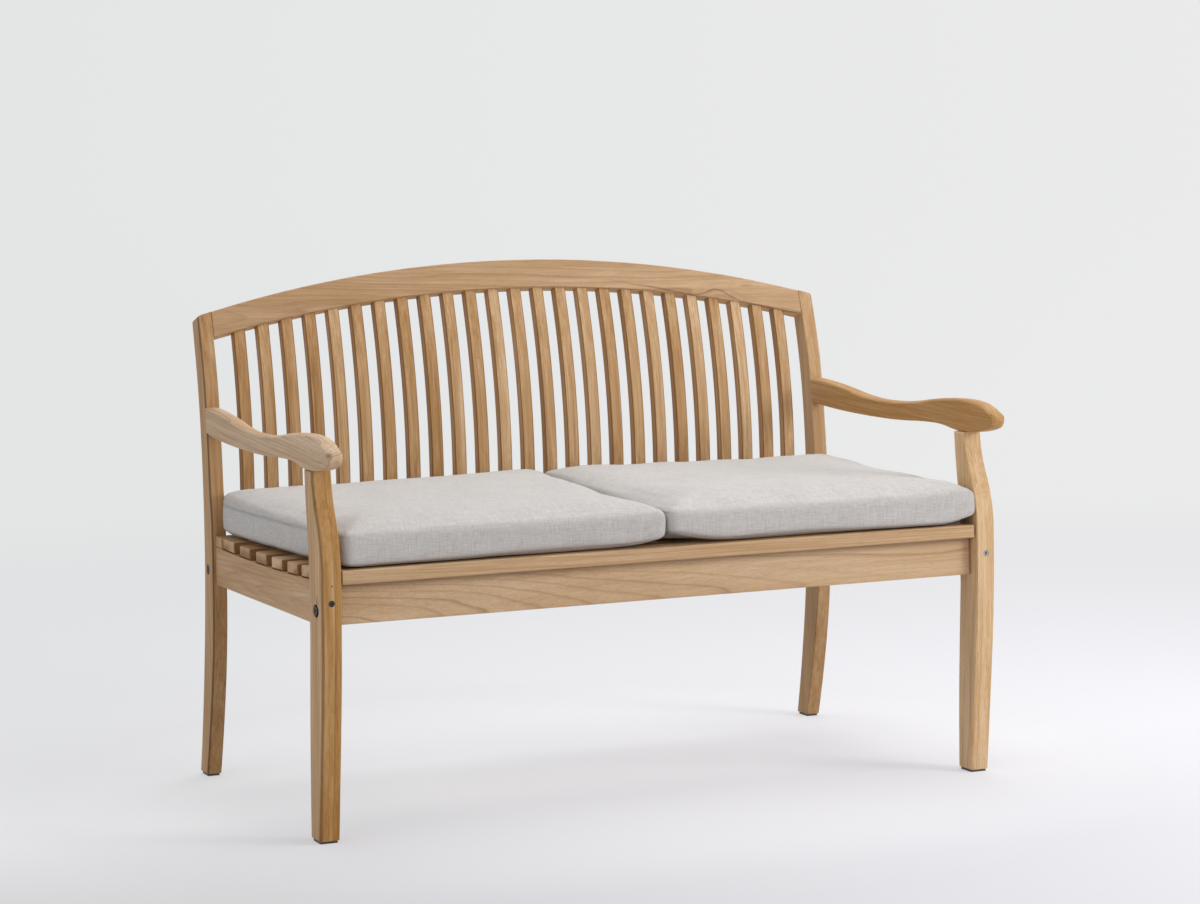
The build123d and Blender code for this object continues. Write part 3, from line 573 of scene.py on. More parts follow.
# Rear post
post_foot_front = 0.617
post_foot_depth = 0.039
post_shoulder_top = 0.422
post_shoulder_back = 0.602
post_sweep_front, post_sweep_height = 0.6002, 0.745
post_top = 0.825
crest_lean = 0.29
post_low_front = two_arcs((post_foot_front, glide_height), 107.5, (post_shoulder, 0.330), 91)
post_high_front = smooth_run((post_shoulder, 0.5665, post_sweep_front),
    (post_shoulder_top, 0.520, post_sweep_height), (90, 86, 73.8))
post_top_front = post_sweep_front + (post_top - post_sweep_height) * crest_lean
post_front = np.concatenate((post_low_front, post_high_front, [(post_top_front, post_top)]))
post_low_back = two_arcs((post_foot_front + post_foot_depth, glide_height), 103.2,
    (post_shoulder_back, post_shoulder_top), 90.5)
post_high_back = smooth_run((post_shoulder_back, post_sweep_front + 0.037),
    (post_shoulder_top, post_sweep_height), (90, 75.5), 14)
post_back = np.concatenate((post_low_back, post_high_back, [(0.6584, post_top)]))
post_outline = thinned(np.concatenate((post_front, post_back[::-1])))


def post_front_at(z):
    """Depth of the post's front at a height, read between its points."""
    return np.interp(z, *post_front.T[::-1])


# Crest rail plane: across, up the lean and back through its thickness
lean = math.atan(crest_lean)
crest_depth = 0.606
crest_height = 0.765
crest_thickness = 0.030
crest_origin = np.array((0.0, crest_depth + BACK, crest_height))
crest_up = np.array((0.0, math.sin(lean), math.cos(lean)))
crest_through = np.array((0.0, math.cos(lean), -math.sin(lean)))
crest_end = 0.0465
crest_rise = 0.077
crest_apex = crest_end + crest_rise
crest_low_apex = crest_apex - 0.053
post_corner = 0.006


def arch_at(x, apex, rise):
    """Height up the lean of an arch that rises between the posts: apex less the sagitta."""
    radius = (post_inner ** 2 + rise ** 2) / (2 * rise)
    return apex - radius + np.sqrt(radius ** 2 - x * x)


def crest_top_at(x):
    """Height of the crest rail's top edge up the lean."""
    return arch_at(x, crest_apex, crest_rise)


def crest_low_at(x):
    """Height of the crest rail's underside up the lean."""
    return arch_at(x, crest_low_apex, crest_low_apex)


def turned_back(x, edge, radius):
    """How far a corner of a radius at an edge falls back at x: r - sqrt(r r - d d), where d
    is how far past the start of the turn x lies."""
    past = np.clip(np.abs(x) - (edge - radius), 0, radius)
    return radius - np.sqrt(radius ** 2 - past ** 2)


def topped(rings):
    """A post's points brought down along the lean to the arch that the crest rail carries
    across it, the arch turned down on a radius at the outer corner."""
    x = rings[..., 0]
    limit = crest_top_at(x) - turned_back(x, half_length, post_corner)
    over = np.maximum((rings - crest_origin) @ crest_up - limit, 0)
    return rings - over[..., None] * crest_up


# ---- drills for bolts and screws
side_bolt_height = 0.3655
face_screw_height = 0.3785
side_rail_middle = (side_rail_outer + side_rail_inner) / 2


def drill(x, y, z, heading, radius, reach, widen=1.0):
    """A cutter for a hole: a circle, or an ellipse widened sideways, at two places along a
    heading."""
    heading = np.asarray(heading, float)
    side = np.cross(heading, Z_AXIS)
    turn = np.linspace(0, 2 * math.pi, 40, endpoint=False)
    ring = radius * (widen * np.cos(turn)[:, None] * side + np.sin(turn)[:, None] * Z_AXIS)
    ends = np.array((-reach, reach))[:, None, None] * heading
    return stood(closed_mesh("drill", np.array((x, y + BACK, z)) + ends + ring[None]), "drill")


def drills_at(sign, bolt_y, screw_y, bolt_radius, widen=1.0):
    """Cutters for one side bolt and one face screw."""
    bolt = drill(sign * half_length, bolt_y, side_bolt_height, (sign, 0, 0), bolt_radius, 0.0052, widen)
    return bolt, drill(sign * side_rail_middle, screw_y, face_screw_height, (0, 1, 0), 0.0052, 0.004)


# ---- legs, posts, arms
leg_front_run = smooth_run(shared(-0.035025, 0.075, (0.467, 0, 0.545)),
    shared(glide_height, 0.59, (0, 0.71, 1)), (97, 90, 89), 12)
leg_back_low = two_arcs((0.039975, glide_height), 90.5, (leg_shoulder, 0.335), 94)
leg_back_high = two_arcs((leg_shoulder, 0.415), 90, (0.0381, 0.594), 89, 12)
leg_top_cut = np.linspace(0.0052, 0.0380, 12)
leg_outline = thinned(np.concatenate((
    leg_front_run[leg_front_run[:, 1] < 0.5795],
    np.stack((leg_top_cut, np.interp(leg_top_cut, *arm_under_run.T)), 1),
    np.concatenate((leg_back_low, leg_back_high[leg_back_high[:, 1] < 0.5805]))[::-1],
)))
arm_rear_count = 12
arm_rear_z = np.linspace(0.6015, 0.6450, arm_rear_count)
arm_rear = np.stack((post_front_at(arm_rear_z) + 0.0006, arm_rear_z), 1)
arm_top_kept = arm_top_run[arm_top_run[:, 0] < post_front_at(0.6455) - 0.001]
arm_under_kept = arm_under_run[arm_under_run[:, 0] < post_front_at(0.6010) - 0.001]
arm_outline = thinned(np.concatenate((arm_top_kept, arm_under_kept, arm_rear)))

# The arm is domed across its top and nose, and has small rounded edges below and at the post
arm_across = -np.cos(np.linspace(0, math.pi, 19))
arm_x = post_inner + post_thickness * (arm_across + 1) / 2
dome = 0.0052 * (1 - (1 - np.abs(arm_across) ** 2.3) ** 0.55)
soft = np.interp(post_thickness / 2 * (1 - np.abs(arm_across)), *edge_profile(0.003, 8))
nose_start = len(arm_top_kept)
weight = np.interp(np.arange(len(arm_outline)), (nose_start, nose_start + 14), (1.0, 0.0))
inset = weight[None] * dome[:, None] + (1 - weight[None]) * soft[:, None]
arm_normals = mitres(arm_outline)
arm_normals[-arm_rear_count:] *= (0.0, 1.0)
flat = arm_outline[None] - arm_normals[None] * inset[..., None]
arm_rings = BACK * Y_AXIS + flat[..., :1] * Y_AXIS + flat[..., 1:] * Z_AXIS + arm_x[:, None, None] * X_AXIS

apron_middle = apron_front + 0.011
face_screw_front = -0.0345
leg_rings = side_board(leg_outline, leg_inner, half_length, 0.003)
post_stations = (post_inner + 0.013, half_length - 0.006, half_length - 0.0045, half_length - 0.0035)
post_rings = topped(side_board(post_outline, post_inner, half_length, 0.0025, post_stations))
# Left leg marks: a crack above the side bolt, painted shade round the bolt recess, and a small spot
left_leg_marks_and_recess_shade = (
    ((left_edge, -0.0125 + BACK, 0.380), (0.004, 0.0022, 0.012), 0.85),
    ((-0.5965, -0.0075 + BACK, side_bolt_height), (0.0048, 0.0155, 0.012), 0.85),
    ((-0.5835, face_screw_front + BACK, 0.4056), (0.0022, 0.004, 0.0022), 0.75),
)
left_leg_teak = teak("left_leg_teak", strip=(-0.5793, -0.04), corner=(left_edge, left_edge + 0.006, 0.6),
    marks_and_recess_shade=left_leg_marks_and_recess_shade)
right_leg_teak = teak("right_leg_teak", strip=(0.5785, -0.05))
left_arm_knot = ((-0.597, -0.0745 + BACK, 0.611), (0.02, 0.02, 0.016), 0.016, 0.62)
left_arm_teak = teak("left_arm_teak", knots=(left_arm_knot,), lines=0.7)
right_arm_mark = ((0.5775, -0.072 + BACK, 0.616), (0.0016, 0.004, 0.0028), 0.75)
right_arm_teak = teak("right_arm_teak", marks_and_recess_shade=(right_arm_mark,))

for sign, hand, leg_look, post_finish, arm_look in (
    (1, "right", (right_leg_teak, 0.4, 0.0), plain_teak, (right_arm_teak, -0.08, 1.12)),
    (-1, "left", (left_leg_teak, -0.14, -0.13), left_post_teak, (left_arm_teak, 0.1, 0.9)),
):
    turn_over = np.array if sign > 0 else mirrored
    front_drills = drills_at(sign, apron_middle - 0.0045, face_screw_front, 0.0104, 1.3)
    rear_drills = drills_at(sign, 0.582, post_shoulder_back, 0.0088)
    leg_finish, leg_tone, leg_face_rich = leg_look
    # Painted light: the X faces of the legs and posts are lighter than their fronts, and the left leg's X
    # faces less rich
    timber("front_leg_" + hand, turn_over(leg_rings), leg_finish, Z_AXIS, X_AXIS, 1.0 + sign * 0.31,
        (0.09, 0.03), (0.02, 0.01), leg_tone, 1.16, front_drills,
        {"face": 0.11, "face_rich": leg_face_rich})
    timber("rear_post_" + hand, turn_over(post_rings), post_finish, Z_AXIS + 0.1 * Y_AXIS, X_AXIS,
        2.0 + sign * 0.37, (0.07, 0.04), (0.01, 0.02), -0.11, 1.04, rear_drills, {"face": 0.05})
    arm_finish, arm_tone, arm_rich = arm_look
    timber("arm_" + hand, turn_over(arm_rings), arm_finish, Y_AXIS, X_AXIS, 3.0 + sign * 0.43,
        (0.06, 0.05), (0.03, 0.05), arm_tone, arm_rich)
    for cutter in front_drills + rear_drills:
        bpy.data.objects.remove(cutter)

# ---- crest rail
x_top = np.linspace(-post_inner, post_inner, 61)
crest_outline = np.concatenate((
    np.stack((x_top, crest_top_at(x_top)), 1),
    np.stack((x_top[::-1], crest_low_at(x_top)), 1),
))
crest_rings = board_rings(crest_outline, 0.0, crest_thickness, 0.0025, crest_origin,
    X_AXIS, crest_up, crest_through)
crest_knots = (((0.41, 0.325, 0.785), (0.045, 0.06, 0.03), 0.016, 0.0),
    ((-0.2, 0.335, 0.87), (0.07, 0.06, 0.02), 0.006, 0.0))
# The crest's underside is painted lighter and richer as painted light
crest_finish = teak("crest_teak", knots=crest_knots, vein=(0.406, 0.799, -0.19, 0.018, 0.031, 0.23, 0.55),
    underside_light=0.3, ring=0.0052, wander=0.03, contrast=0.75, lines=0.7)
timber("crest_rail", crest_rings, crest_finish, X_AXIS, crest_up, 5.3, (0.035, 0.05), (0.02, 0.035),
    -0.03, 0.96)

# ---- bars across the bench
apron_top = 0.4055
bar_edge = 0.0008
slat_thick = 0.019
slat_corners = (0.0008, 0.0008, 0.0028, 0.0028)


def cross_bar(node, section, radii, half, edge, seed, pith, slope=(0, 0), tone=0.0, finish=plain_teak,
        stations=None, reshape=np.array, shade={}):
    """A bar from side to side with a rounded section."""
    if stations is None:
        stations = np.linspace(0.02 - half, half - 0.02, 5)
    rings = reshape(side_board(thinned(rounded(section, radii)), -half, half, edge, stations))
    timber(node, rings, finish, X_AXIS, Z_AXIS, seed, pith, slope, tone, 1.0, (), shade)


def rectangle(y0, y1, z0, z1):
    """Corners of a rectangle of depth and height."""
    return ((y0, z0), (y1, z0), (y1, z1), (y0, z1))


apron_round = 0.007
corner_steps = apron_round * (1 - np.cos(np.linspace(0, math.pi / 2, 7)))[1:]
apron_corner = leg_inner - bar_edge - corner_steps
apron_stations = np.concatenate((-apron_corner, np.linspace(-0.55, 0.55, 27), apron_corner[::-1]))


def apron_ends(rings):
    """Front corners of the apron turned back on a radius at each end, less and less towards
    the middle of its thickness."""
    share = np.clip((apron_middle + BACK - rings[..., 1]) / (apron_middle - apron_front), 0, 1)
    rings = rings.copy()
    rings[..., 1] += share * turned_back(rings[..., 0], leg_inner, apron_round)
    return rings


# The darker band along the apron's top is a painted shadow under the front slat's overhang
apron_finish = teak("apron_teak", under=(0.389, 0.4035, 0.42), ring=0.0085, wander=0.01,
    contrast=0.5, lines=0.62, soft_line=0.7)
cross_bar("front_apron", rectangle(apron_front, 0.008, rail_underside, apron_top), 0.0022, leg_inner,
    bar_edge, 6.1, (0.045, 0.0762), (0.0, 0.0758, -0.076), 0.12, apron_finish, apron_stations,
    apron_ends)
cross_bar("rear_seat_rail", rectangle(0.571, 0.593, rail_underside, 0.4015), 0.002, post_inner, bar_edge,
    6.7, (0.02, 0.05), (0.015, 0.02), -0.05)
cross_bar("lower_back_rail", rectangle(0.5735, 0.5975, 0.445, 0.490), 0.002, post_inner, bar_edge,
    7.3, (0.02, 0.05), (0.015, 0.02))

# ---- dished bearings
# The circle through three stations of depth and height: its middle solves two equations,
# each saying that it lies as far from one station as from the next
dish_points = np.array(((leg_shoulder, 0.4095), (0.35, 0.4036), (post_shoulder, 0.4070)))
dish_squares = (dish_points ** 2).sum(1)
dish_middle = np.linalg.solve(2 * np.diff(dish_points, axis=0), np.diff(dish_squares))
dish_radius = math.dist(dish_points[0], dish_middle)


def dish_at(y):
    """Height of the dished bearing at a depth, on the circle through its three stations."""
    return dish_middle[1] - np.sqrt(dish_radius ** 2 - (y - dish_middle[0]) ** 2)


def dish_line(y0, y1, count):
    """Points along the dished bearing between two depths."""
    run = np.linspace(y0, y1, count)
    return np.stack((run, dish_at(run)), 1)


side_rail_outline = np.concatenate((
    dish_line(leg_shoulder, post_shoulder, 40),
    ((post_shoulder, rail_underside), (leg_shoulder, rail_underside)),
))
side_rail_rings = side_board(side_rail_outline, side_rail_inner, side_rail_outer, 0.0015)
for sign, hand, rings in ((1, "right", side_rail_rings), (-1, "left", mirrored(side_rail_rings))):
    timber("side_rail_" + hand, rings, plain_teak, Y_AXIS, Z_AXIS, 8.0 + sign * 0.29,
        (0.015, 0.04), (0.02, 0.03))

bearer_bottom = 0.3565
bearer_outline = np.concatenate((
    ((0.008, bearer_bottom), (0.008, apron_top), (0.03, apron_top)),
    dish_line(0.03, post_shoulder, 30),
    ((0.571, 0.407), (0.571, bearer_bottom)),
))
timber("seat_bearer", side_board(thinned(bearer_outline), -0.011, 0.011, 0.0015), plain_teak,
    Y_AXIS, Z_AXIS, 8.9, (0.02, 0.03), (0.01, 0.01), -0.1)

# ---- seat slats
slat_fronts = np.array((0.0664, 0.1921, 0.3357, 0.4883, 0.6526, 0.8133)) * post_shoulder
slat_widths = np.array((0.0898, 0.0952, 0.1005, 0.1023, 0.1023, 0.1149)) * post_shoulder
slat_tones = (0.05, -0.06, 0.1, 0.0, -0.1, 0.06)
for i, (front, rear) in enumerate(zip(slat_fronts, slat_fronts + slat_widths)):
    tilt = math.atan2(dish_at(rear) - dish_at(front), rear - front)
    over = np.array((-math.sin(tilt), math.cos(tilt))) * slat_thick
    a = np.array((front, dish_at(front)))
    b = np.array((rear, dish_at(rear)))
    # Painted shade on each slat's front and back faces in the gaps between slats, and its ends a little
    # lighter
    cross_bar("seat_slat_%02d" % (i + 2), (a, b, b + over, a + over), slat_corners, side_rail_outer - 0.002,
        0.002, 9.0 + i * 0.37, (0.03 + 0.006 * i, 0.03), (0.01, 0.012), slat_tones[i],
        shade={"face": 0.08, "edge": -0.8})
cross_bar("seat_slat_01", rectangle(-0.031, 0.023, apron_top, 0.4275), 0.0028, 0.565, 0.0015,
    11.6, (0.05, 0.012), (0.012, 0.008), 0.16)
rear_line = dish_line(post_shoulder - 0.034, post_shoulder, 2)
cross_bar("seat_slat_08", np.concatenate((rear_line, rear_line[::-1] + (0, slat_thick))), slat_corners,
    side_rail_outer, 0.0015, 12.2, (0.04, 0.02), (0.01, 0.01))

# ---- back slats
slat_pitch = 0.04394
slat_half_width = 0.011
slat_depth = 0.018
slat_foot = 0.472
slat_front = 0.575
bend_height = 0.505
slat_turn_height = crest_height - (0.0032 + crest_depth - slat_front) / crest_lean
bend_radius = (slat_turn_height - bend_height) / math.tan(lean / 2)
back_slat_tones = (-0.12, 0.02, -0.06, -0.16, 0.1, -0.08, -0.02, -0.1, -0.04, 0.04, -0.06, 0.02, 0.1,
    -0.01, 0.07, 0.14, -0.02, 0.04, 0.12, -0.04, 0.09, 0.01, 0.11, 0.0, 0.06)


def slat_side(back, top):
    """Side curve of a back slat set back by a distance: straight up to the bend, one arc to
    the lean, then straight up the lean."""
    radius = bend_radius - back
    turn = np.linspace(0, lean, 15)
    y = slat_front + bend_radius - radius * np.cos(turn)
    z = bend_height + radius * np.sin(turn)
    y = np.concatenate(((y[0],), y, (y[-1] + (top - z[-1]) * crest_lean,)))
    z = np.concatenate(((slat_foot,), z, (top,)))
    return np.stack((y, z), 1)


for i, tone in enumerate(back_slat_tones):
    x = (i - 12) * slat_pitch
    top = crest_height + float(crest_low_at(abs(x) + slat_half_width)) * math.cos(lean) + 0.014
    outline = np.concatenate((slat_side(0.0, top), slat_side(slat_depth, top)[::-1]))
    rings = side_board(outline, x - slat_half_width, x + slat_half_width, 0.0022)
    # Painted shade: each slat's X faces are darker, with a darker line where they turn to the front
    timber("back_slat_%02d" % (i + 1), rings, slat_teak, Z_AXIS + 0.12 * Y_AXIS, X_AXIS, 13.0 + i * 0.61,
        (0.03 + 0.011 * (i * 7 % 5), 0.02 + 0.013 * (i * 3 % 4)), (0.015 * (i * 5 % 3 - 1), 0.01),
        tone, 1.06, shade={"face": -0.2, "corner": -0.8})


# ---- cushions
cushion_bottom = 0.428456
cushion_y0 = -0.028
cushion_y1 = 0.5705
cushion_outer_front = leg_inner - 0.0012
cushion_outer_rear = post_inner - 0.002
cushion_top = 0.0795
top_edge_inset = 0.0075
draw_in = 0.004


def bowed(start, end, bow, count):
    """Points on a side that bows to its left: a parabola 4 s (1 - s) of the bow at a share s
    of the way, without its two ends."""
    s = np.linspace(0, 1, count + 2)[1:-1, None]
    run = end - start
    left = np.array((-run[1], run[0])) / np.linalg.norm(run)
    return start + run * s + left * bow * 4 * s * (1 - s)


def pad_ring(inner_front, inner_rear, front_corner, swell):
    """Plan outline of a right-hand cushion: rounded corners, sides that draw in between
    them, and an outer side that swells out over the slat ends between the leg and the post,
    with a notch where its rear corner meets the post."""
    corner_x, corner_y, corner_radius = front_corner
    corners = ((inner_front, cushion_y0), (corner_x, corner_y),
        (swell, post_shoulder - 0.0035), (cushion_outer_rear, post_shoulder - 0.0025),
        (cushion_outer_rear, cushion_y1), (inner_rear, cushion_y1))
    turned = rounded(corners, (0.015, corner_radius, 0.009, 0.003, 0.006, 0.015), 11).reshape(6, 11, 2)
    knee = np.array((cushion_outer_front, 0.035))
    front = bowed(turned[0, -1], turned[1, 0], draw_in, 34)
    leg_side = bowed(turned[1, -1], knee, 0.0, 3)
    swollen = bowed(knee, turned[2, 0], -0.005, 30)
    rear = bowed(turned[4, -1], turned[5, 0], draw_in, 34)
    middle = bowed(turned[5, -1], turned[0, 0], draw_in, 34)
    return np.concatenate((turned[0], front, turned[1], leg_side, knee[None], swollen,
        turned[2], turned[3], turned[4], rear, turned[5], middle))


def edge_height(plan):
    """Height of a cushion's top edge, which grows evenly from front to rear."""
    return 0.0575 + 0.0155 * (plan[:, 1] - cushion_y0) / (cushion_y1 - cushion_y0)


def pad_form(inner_front, inner_rear, front_corner, swell):
    """Crowned closed pad over its plan outline: up the side the outline shrinks at the foot
    and at the top edge, and above that edge it shrinks to the middle while the crown rises
    from the edge as 1 - (1 - q) to the power 6.5 at a share q of the way in."""
    ring = pad_ring(inner_front, inner_rear, front_corner, swell)
    shrink = mitres(ring)
    middle = (ring.min(0) + ring.max(0)) / 2
    ground = np.zeros(len(ring))
    rings = [np.column_stack((middle + (ring - middle) * share, ground)) for share in (0.02, 0.4, 0.8)]
    for share, inset in ((0.0, 0.007), (0.05, 0.003), (0.14, 0.0005), (0.34, 0.0), (0.62, 0.0),
            (0.82, 0.0006), (0.93, 0.003), (1.0, top_edge_inset)):
        plan = ring - shrink * inset
        rings.append(np.column_stack((plan, edge_height(plan) * share)))
    for q in np.linspace(0, 1, 24)[1:] ** 1.3:
        plan = middle + (ring - shrink * top_edge_inset - middle) * (1 - 0.985 * q)
        edge = edge_height(plan)
        rings.append(np.column_stack((plan, edge + (cushion_top - edge) * (1 - (1 - q) ** 6.5))))
    return np.stack(rings) + np.array((0.0, BACK, cushion_bottom))


def filled(piece):
    """Swells a pad as its filling does: even voxels, cloth under pressure, and each point's
    travel evened out with its neighbours', twelve times over, and held to a cap."""
    frames = 20
    cap = 0.006
    voxels = piece.modifiers.new("voxels", "REMESH")
    voxels.mode = "VOXEL"
    voxels.voxel_size = 0.006
    voxels.use_smooth_shade = True
    rest = read(worked_in(piece))
    swell = piece.modifiers.new("swell", "CLOTH")
    for key, value in (("quality", 6), ("mass", 0.25), ("use_pressure", True), ("uniform_pressure_force", 4.0),
            ("tension_stiffness", 18), ("compression_stiffness", 10), ("shear_stiffness", 6),
            ("bending_stiffness", 0.6)):
        setattr(swell.settings, key, value)
    swell.settings.effector_weights.gravity = 0
    swell.point_cache.frame_start = 1
    swell.point_cache.frame_end = frames
    for step in range(frames):
        scene.frame_set(step + 1)
    swollen = piece.evaluated_get(bpy.context.evaluated_depsgraph_get())
    travel = read(swollen.to_mesh()) - rest
    swollen.to_mesh_clear()
    piece.modifiers.clear()
    scene.frame_set(1)
    count = len(rest)
    pairs = np.empty(len(piece.data.edges) * 2, dtype=np.int32)
    piece.data.edges.foreach_get("vertices", pairs)
    one, other = pairs.reshape(-1, 2).T
    neighbours = np.bincount(pairs, minlength=count)[:, None]
    for turn in range(12):
        around = [np.bincount(one, travel[other, k], count) + np.bincount(other, travel[one, k], count)
            for k in range(3)]
        travel = (travel + np.stack(around, 1)) / (1 + neighbours)
    length = np.linalg.norm(travel, axis=1)[:, None]
    return rest + travel * np.minimum(1, cap / np.maximum(length, 1e-9))


def fitted(points, form):
    """A filled pad scaled to take up the space of its form, a little over in height."""
    low, high = form.reshape(-1, 3).min(0), form.reshape(-1, 3).max(0)
    low[2] -= 0.003
    high[2] += 0.001
    return low + (points - points.min(0)) / np.ptp(points, axis=0) * (high - low)


def share_of(value, low, high):
    """How far a value is on the way from low to high, from 0 to 1."""
    return np.clip((value - low) / (high - low), 0, 1)


def hill(points, x, y, reach_x, reach_y):
    """A bell over the plan: e to the power of minus the squares of the distances over the
    reaches, whose sum fades it out."""
    return np.exp(-((points[:, 0] - x) / reach_x) ** 2 - ((points[:, 1] - y - BACK) / reach_y) ** 2)


def cushion(hand, inner_front, inner_rear, front_corner, swell, seed, tops, corners, lifted_at):
    """One seat cushion: filled form, seams, weave coordinates, cloth."""
    name = "cushion_" + hand + "_sewn"
    form = pad_form(inner_front, inner_rear, front_corner, swell)
    form = form if hand == "right" else mirrored(form)
    piece = stood(closed_mesh(name, form), name)
    points = fitted(filled(piece), form)
    points[:, 2] = np.maximum(points[:, 2], cushion_bottom)
    write(piece.data, points)
    finer = piece.modifiers.new("finer", "SUBSURF")
    finer.levels = finer.render_levels = 1
    mesh = worked_in(piece)
    points, normals = read(mesh), read(mesh, "normal")
    level = points[:, 2] - cushion_bottom
    upper = share_of(level, 0, 0.05)
    # Fuller towards the middle of the bench at the back
    bulge = np.exp(-((points[:, 0] - 0.03) / 0.24) ** 2) * share_of(points[:, 1], -0.15, 0.2)
    points[:, 2] += 0.006 * bulge * upper
    # Places where the top stands higher, and corners whose lower edge stands off the slats
    for x, y, reach_x, reach_y, rise in tops:
        points[:, 2] += hill(points, x, y, reach_x, reach_y) * rise * upper
    for x, y, reach, rise in corners:
        points[:, 2] += hill(points, x, y, reach, reach) * rise * share_of(level, 0.06, 0)
    # Seams run along the sides near the top edge and round the bottom one
    rim = (np.abs(normals[:, 2]) < 0.93) * np.clip(1.15 - np.abs(normals[:, 1]) * 1.3, 0, 1)
    top_seam = np.exp(-((level - 0.049) / 0.0017) ** 2) * rim
    low_seam = np.exp(-((level - 0.0045) / 0.0022) ** 2) * rim
    seam = np.maximum(top_seam, low_seam)
    points -= normals * (0.0011 * seam)[:, None]
    # The front lower edge rides up along its middle, and the rear one lies lower
    depth = points[:, 1] - BACK
    lifted = np.exp(-((points[:, 0] - lifted_at) / 0.13) ** 2) * share_of(depth, -0.005, -0.025)
    rear_drop = 0.0018 * share_of(depth, 0.3, 0.5)
    points[:, 2] += 0.006 * lifted * share_of(level, 0.045, 0)
    points[:, 2] -= rear_drop * share_of(level, 0.04, 0)
    # Soft hollows and creases
    rng = np.random.default_rng(seed)
    waves = np.zeros(len(points))
    for k in range(7):
        turn = rng.uniform(0, 2 * math.pi)
        length = rng.uniform(0.09, 0.3)
        phase = rng.uniform(0, 2 * math.pi)
        run = points @ (math.cos(turn), math.sin(turn), 1)
        waves += np.sin(run * 2 * math.pi / length + phase)
    points += normals * (waves * upper * 0.00045)[:, None]
    points[:, 2] = np.maximum(points[:, 2], cushion_bottom - rear_drop)
    # Flat against the leg, and clear of the post
    side_limit = np.interp(points[:, 1] - BACK, (0.041, 0.055), (leg_inner - 0.0006, swell + 0.003))
    points[:, 0] = np.clip(points[:, 0], -side_limit, side_limit)
    beyond = np.abs(points[:, 0]) > post_inner - 0.0005
    points[beyond, 1] = np.minimum(points[beyond, 1], post_shoulder - 0.0012 + BACK)
    write(mesh, points)
    # Weave coordinates: the top's own width and depth, carried on down each side by the
    # fall from the top edge, shared between the sides by the squares of the normal
    facing = np.abs(normals)
    side_share = facing[:, :2] ** 2 / ((facing[:, :2] ** 2).sum(1) + 1e-6)[:, None]
    fall = (0.079 - level)[:, None] * side_share * np.sign(normals[:, :2])
    fall *= np.clip(1.3 - facing[:, 2:], 0, 1)
    note(mesh, "weave", np.column_stack((points[:, :2] + fall, np.full(len(points), seed * 0.37))))
    note(mesh, "seam", seam)
    # Painted shade on the upright sides, full on the front and back and less on the ends
    wall_shade = share_of(facing[:, 2], 0.85, 0.55) * np.where(facing[:, 0] > facing[:, 1], 0.6, 1.0)
    note(mesh, "wall_shade", wall_shade)
    mesh.shade_smooth()
    mesh.materials.clear()
    mesh.materials.append(linen_cloth)
    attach(piece, hand + "_cushion")
    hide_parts("cushion_" + hand)


cushion("right", -0.00375, 0.01825, (cushion_outer_front, -0.0345, 0.006), 0.5905, 3,
    ((0.59, 0.52, 0.06, 0.13, 0.0062), (0.566, -0.03, 0.05, 0.05, 0.003)),
    ((0.0, cushion_y0, 0.062, 0.019), (0.566, cushion_y0, 0.035, 0.010)), 0.23)
cushion("left", 0.00625, -0.01575, (leg_inner - 0.0065, cushion_y0, 0.018), 0.584, 8,
    ((-0.575, 0.545, 0.055, 0.055, 0.002),), ((-0.006, cushion_y0, 0.05, 0.009),), -0.18)

# ---- fittings kept from the CAD
for node, finish in (("side_bolts", dark_steel), ("face_screws", screw_steel), ("glides", glide_plastic)):
    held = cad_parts[node]
    held.data.materials.clear()
    held.data.materials.append(finish)

# ---- camera
# Yaw, pitch and roll in degrees, then the lens and its shift in the picture's own units
picture_width = 1200
yaw, pitch, roll = math.radians(23.595), math.radians(1.01), math.radians(-1.14)
ahead = Vector((math.sin(yaw) * math.cos(pitch), math.cos(yaw) * math.cos(pitch), -math.sin(pitch)))
level = ahead.cross(Vector((0, 0, 1))).normalized()
above = level.cross(ahead)
across = level * math.cos(roll) + above * math.sin(roll)
upwards = above * math.cos(roll) - level * math.sin(roll)
eye = bpy.data.cameras.new("eye")
eye.sensor_width = 36
eye.lens = 3008.9 / picture_width * eye.sensor_width
eye.shift_x = 6.2 / picture_width
eye.shift_y = -215.1 / picture_width
eye.clip_end = 300
camera = stood(eye, "camera")
place = Matrix((across, upwards, -ahead)).transposed().to_4x4()
place.translation = Vector((-2.0580, -4.4466 + BACK, 1.0187))
camera.matrix_world = place
scene.camera = camera

# ---- studio
left_back, right_back = (0.775, 0.783, 0.783, 1), (0.825, 0.827, 0.828, 1)
backdrop_turn = (0.2, 0.58)
floor_reach = 120.0


def seen(recipe):
    """One on rays from the camera, off gloss or through glass, and nothing on the rest."""
    path = recipe.add("LightPath").outputs
    others = recipe.maths("MAXIMUM", path["Is Glossy Ray"], path["Is Transmission Ray"])
    return recipe.maths("MAXIMUM", path["Is Camera Ray"], others)


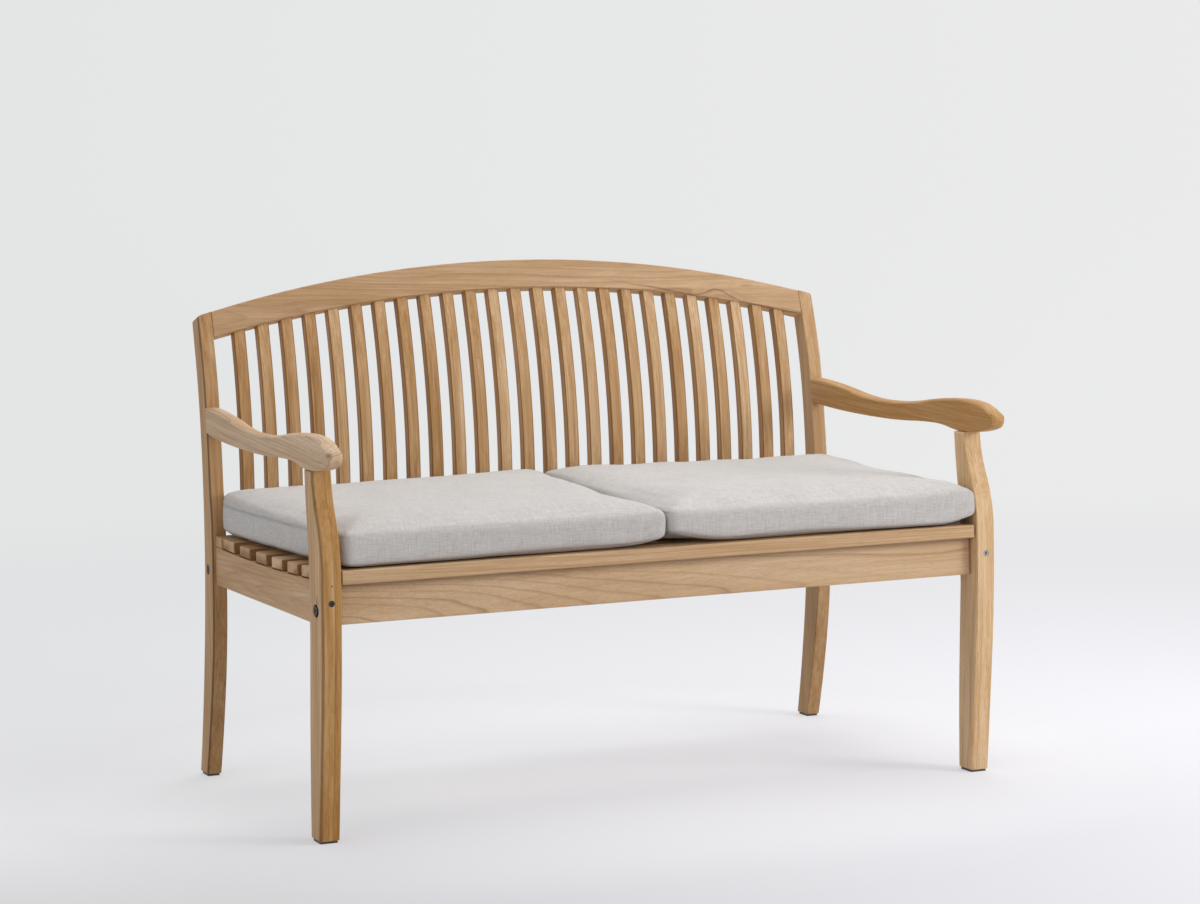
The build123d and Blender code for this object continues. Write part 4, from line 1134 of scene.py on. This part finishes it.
# The floor glows a little where it is seen, more the further off it lies, up to the backdrop.
# Near the bench its colours are painted light and shade: lighter to the right, darker towards
# the front, and a stronger glow round the middle, a painted pool of light over the bench's shadow.
paper = Recipe(bpy.data.materials.new("studio_floor"))
spot = paper.place()
spot_x, spot_y = paper.parts(spot)["X"], paper.parts(spot)["Y"]
away = paper.vector("LENGTH", spot)
rightwards = paper.spread(paper.plus(spot_x, paper.times(spot_y, -0.4)), -1.1, 1.3)
paper.shade({"Base Color": paper.blend(rightwards, (0.72, 0.725, 0.74, 1), (0.88, 0.875, 0.91, 1)),
    "Roughness": 0.9, "Specular IOR Level": 0.1})
near_tint = paper.blend(rightwards, (0.9, 0.905, 0.92, 1), (0.9, 0.892, 0.932, 1))
front_tint = paper.blend(rightwards, (0.4, 0.4, 0.42, 1), (0.72, 0.713, 0.755, 1))
near_tint = paper.blend(paper.spread(spot_y, -0.05, -0.8), near_tint, front_tint)
turned_right = paper.spread(paper.maths("DIVIDE", spot_x, away), *backdrop_turn)
far_tint = paper.blend(turned_right, left_back, right_back)
glow = paper.add("Emission", {"Color": paper.blend(paper.spread(away, 1.4, 4.5), near_tint, far_tint),
    "Strength": paper.spread(away, 0.3, 0.95, 1.34, 1.0)})
glow_share = paper.times(paper.spread(away, 1.3, 4.5, 0.46, 1.0), seen(paper))
lit = paper.tree.nodes["Principled BSDF"]
mixed = paper.add("MixShader", {0: glow_share, 1: lit.outputs[0], 2: glow.outputs[0]})
paper.put(paper.tree.nodes["Material Output"].inputs["Surface"], mixed.outputs[0])
ground_mesh = bpy.data.meshes.new("floor")
ground_corners = [(x * floor_reach, y * floor_reach, 0) for x, y in ((-1, -1), (1, -1), (1, 1), (-1, 1))]
ground_mesh.from_pydata(ground_corners, [], [(0, 1, 2, 3)])
ground_mesh.materials.append(paper.owner)
ground = stood(ground_mesh, "floor")

# The sky lights the object evenly and shows the backdrop where it is seen
scene.world = bpy.data.worlds.new("studio")
sky = Recipe(scene.world)
ambient = sky.tree.nodes["Background"]
sky.put(ambient.inputs["Color"], (0.975, 0.985, 1.0, 1))
sky.put(ambient.inputs["Strength"], 0.5)
heading_x = sky.parts(sky.add("TexCoord").outputs["Generated"])["X"]
tint = sky.blend(sky.spread(heading_x, *backdrop_turn), left_back, right_back)
backdrop = sky.add("Background", {"Color": tint})
mixed = sky.add("MixShader", {0: seen(sky), 1: ambient.outputs[0], 2: backdrop.outputs[0]})
sky.put(sky.tree.nodes["World Output"].inputs["Surface"], mixed.outputs[0])


def soft_box(name, place, target, width, height, power, colour=(1, 1, 1)):
    """A soft rectangular studio light aimed at a point."""
    lamp = bpy.data.lights.new(name, "AREA")
    lamp.shape = "RECTANGLE"
    lamp.size = width
    lamp.size_y = height
    lamp.energy = power
    lamp.color = colour
    holder = stood(lamp, name)
    holder.location = place
    holder.rotation_euler = (Vector(target) - Vector(place)).to_track_quat("-Z", "Y").to_euler()


soft_box("key_light", (2.5, -2.3, 1.45), (0.2, 0.0, 0.35), 1.05, 1.05, 46, (1.0, 0.985, 0.96))
soft_box("left_fill", (-3.2, -1.4, 1.3), (-0.3, 0.0, 0.4), 2.4, 2.0, 15)
soft_box("top_light", (0.5, 0.1, 3.2), (0, 0, 0.4), 3.0, 2.4, 60)
scene.view_settings.view_transform = "Standard"
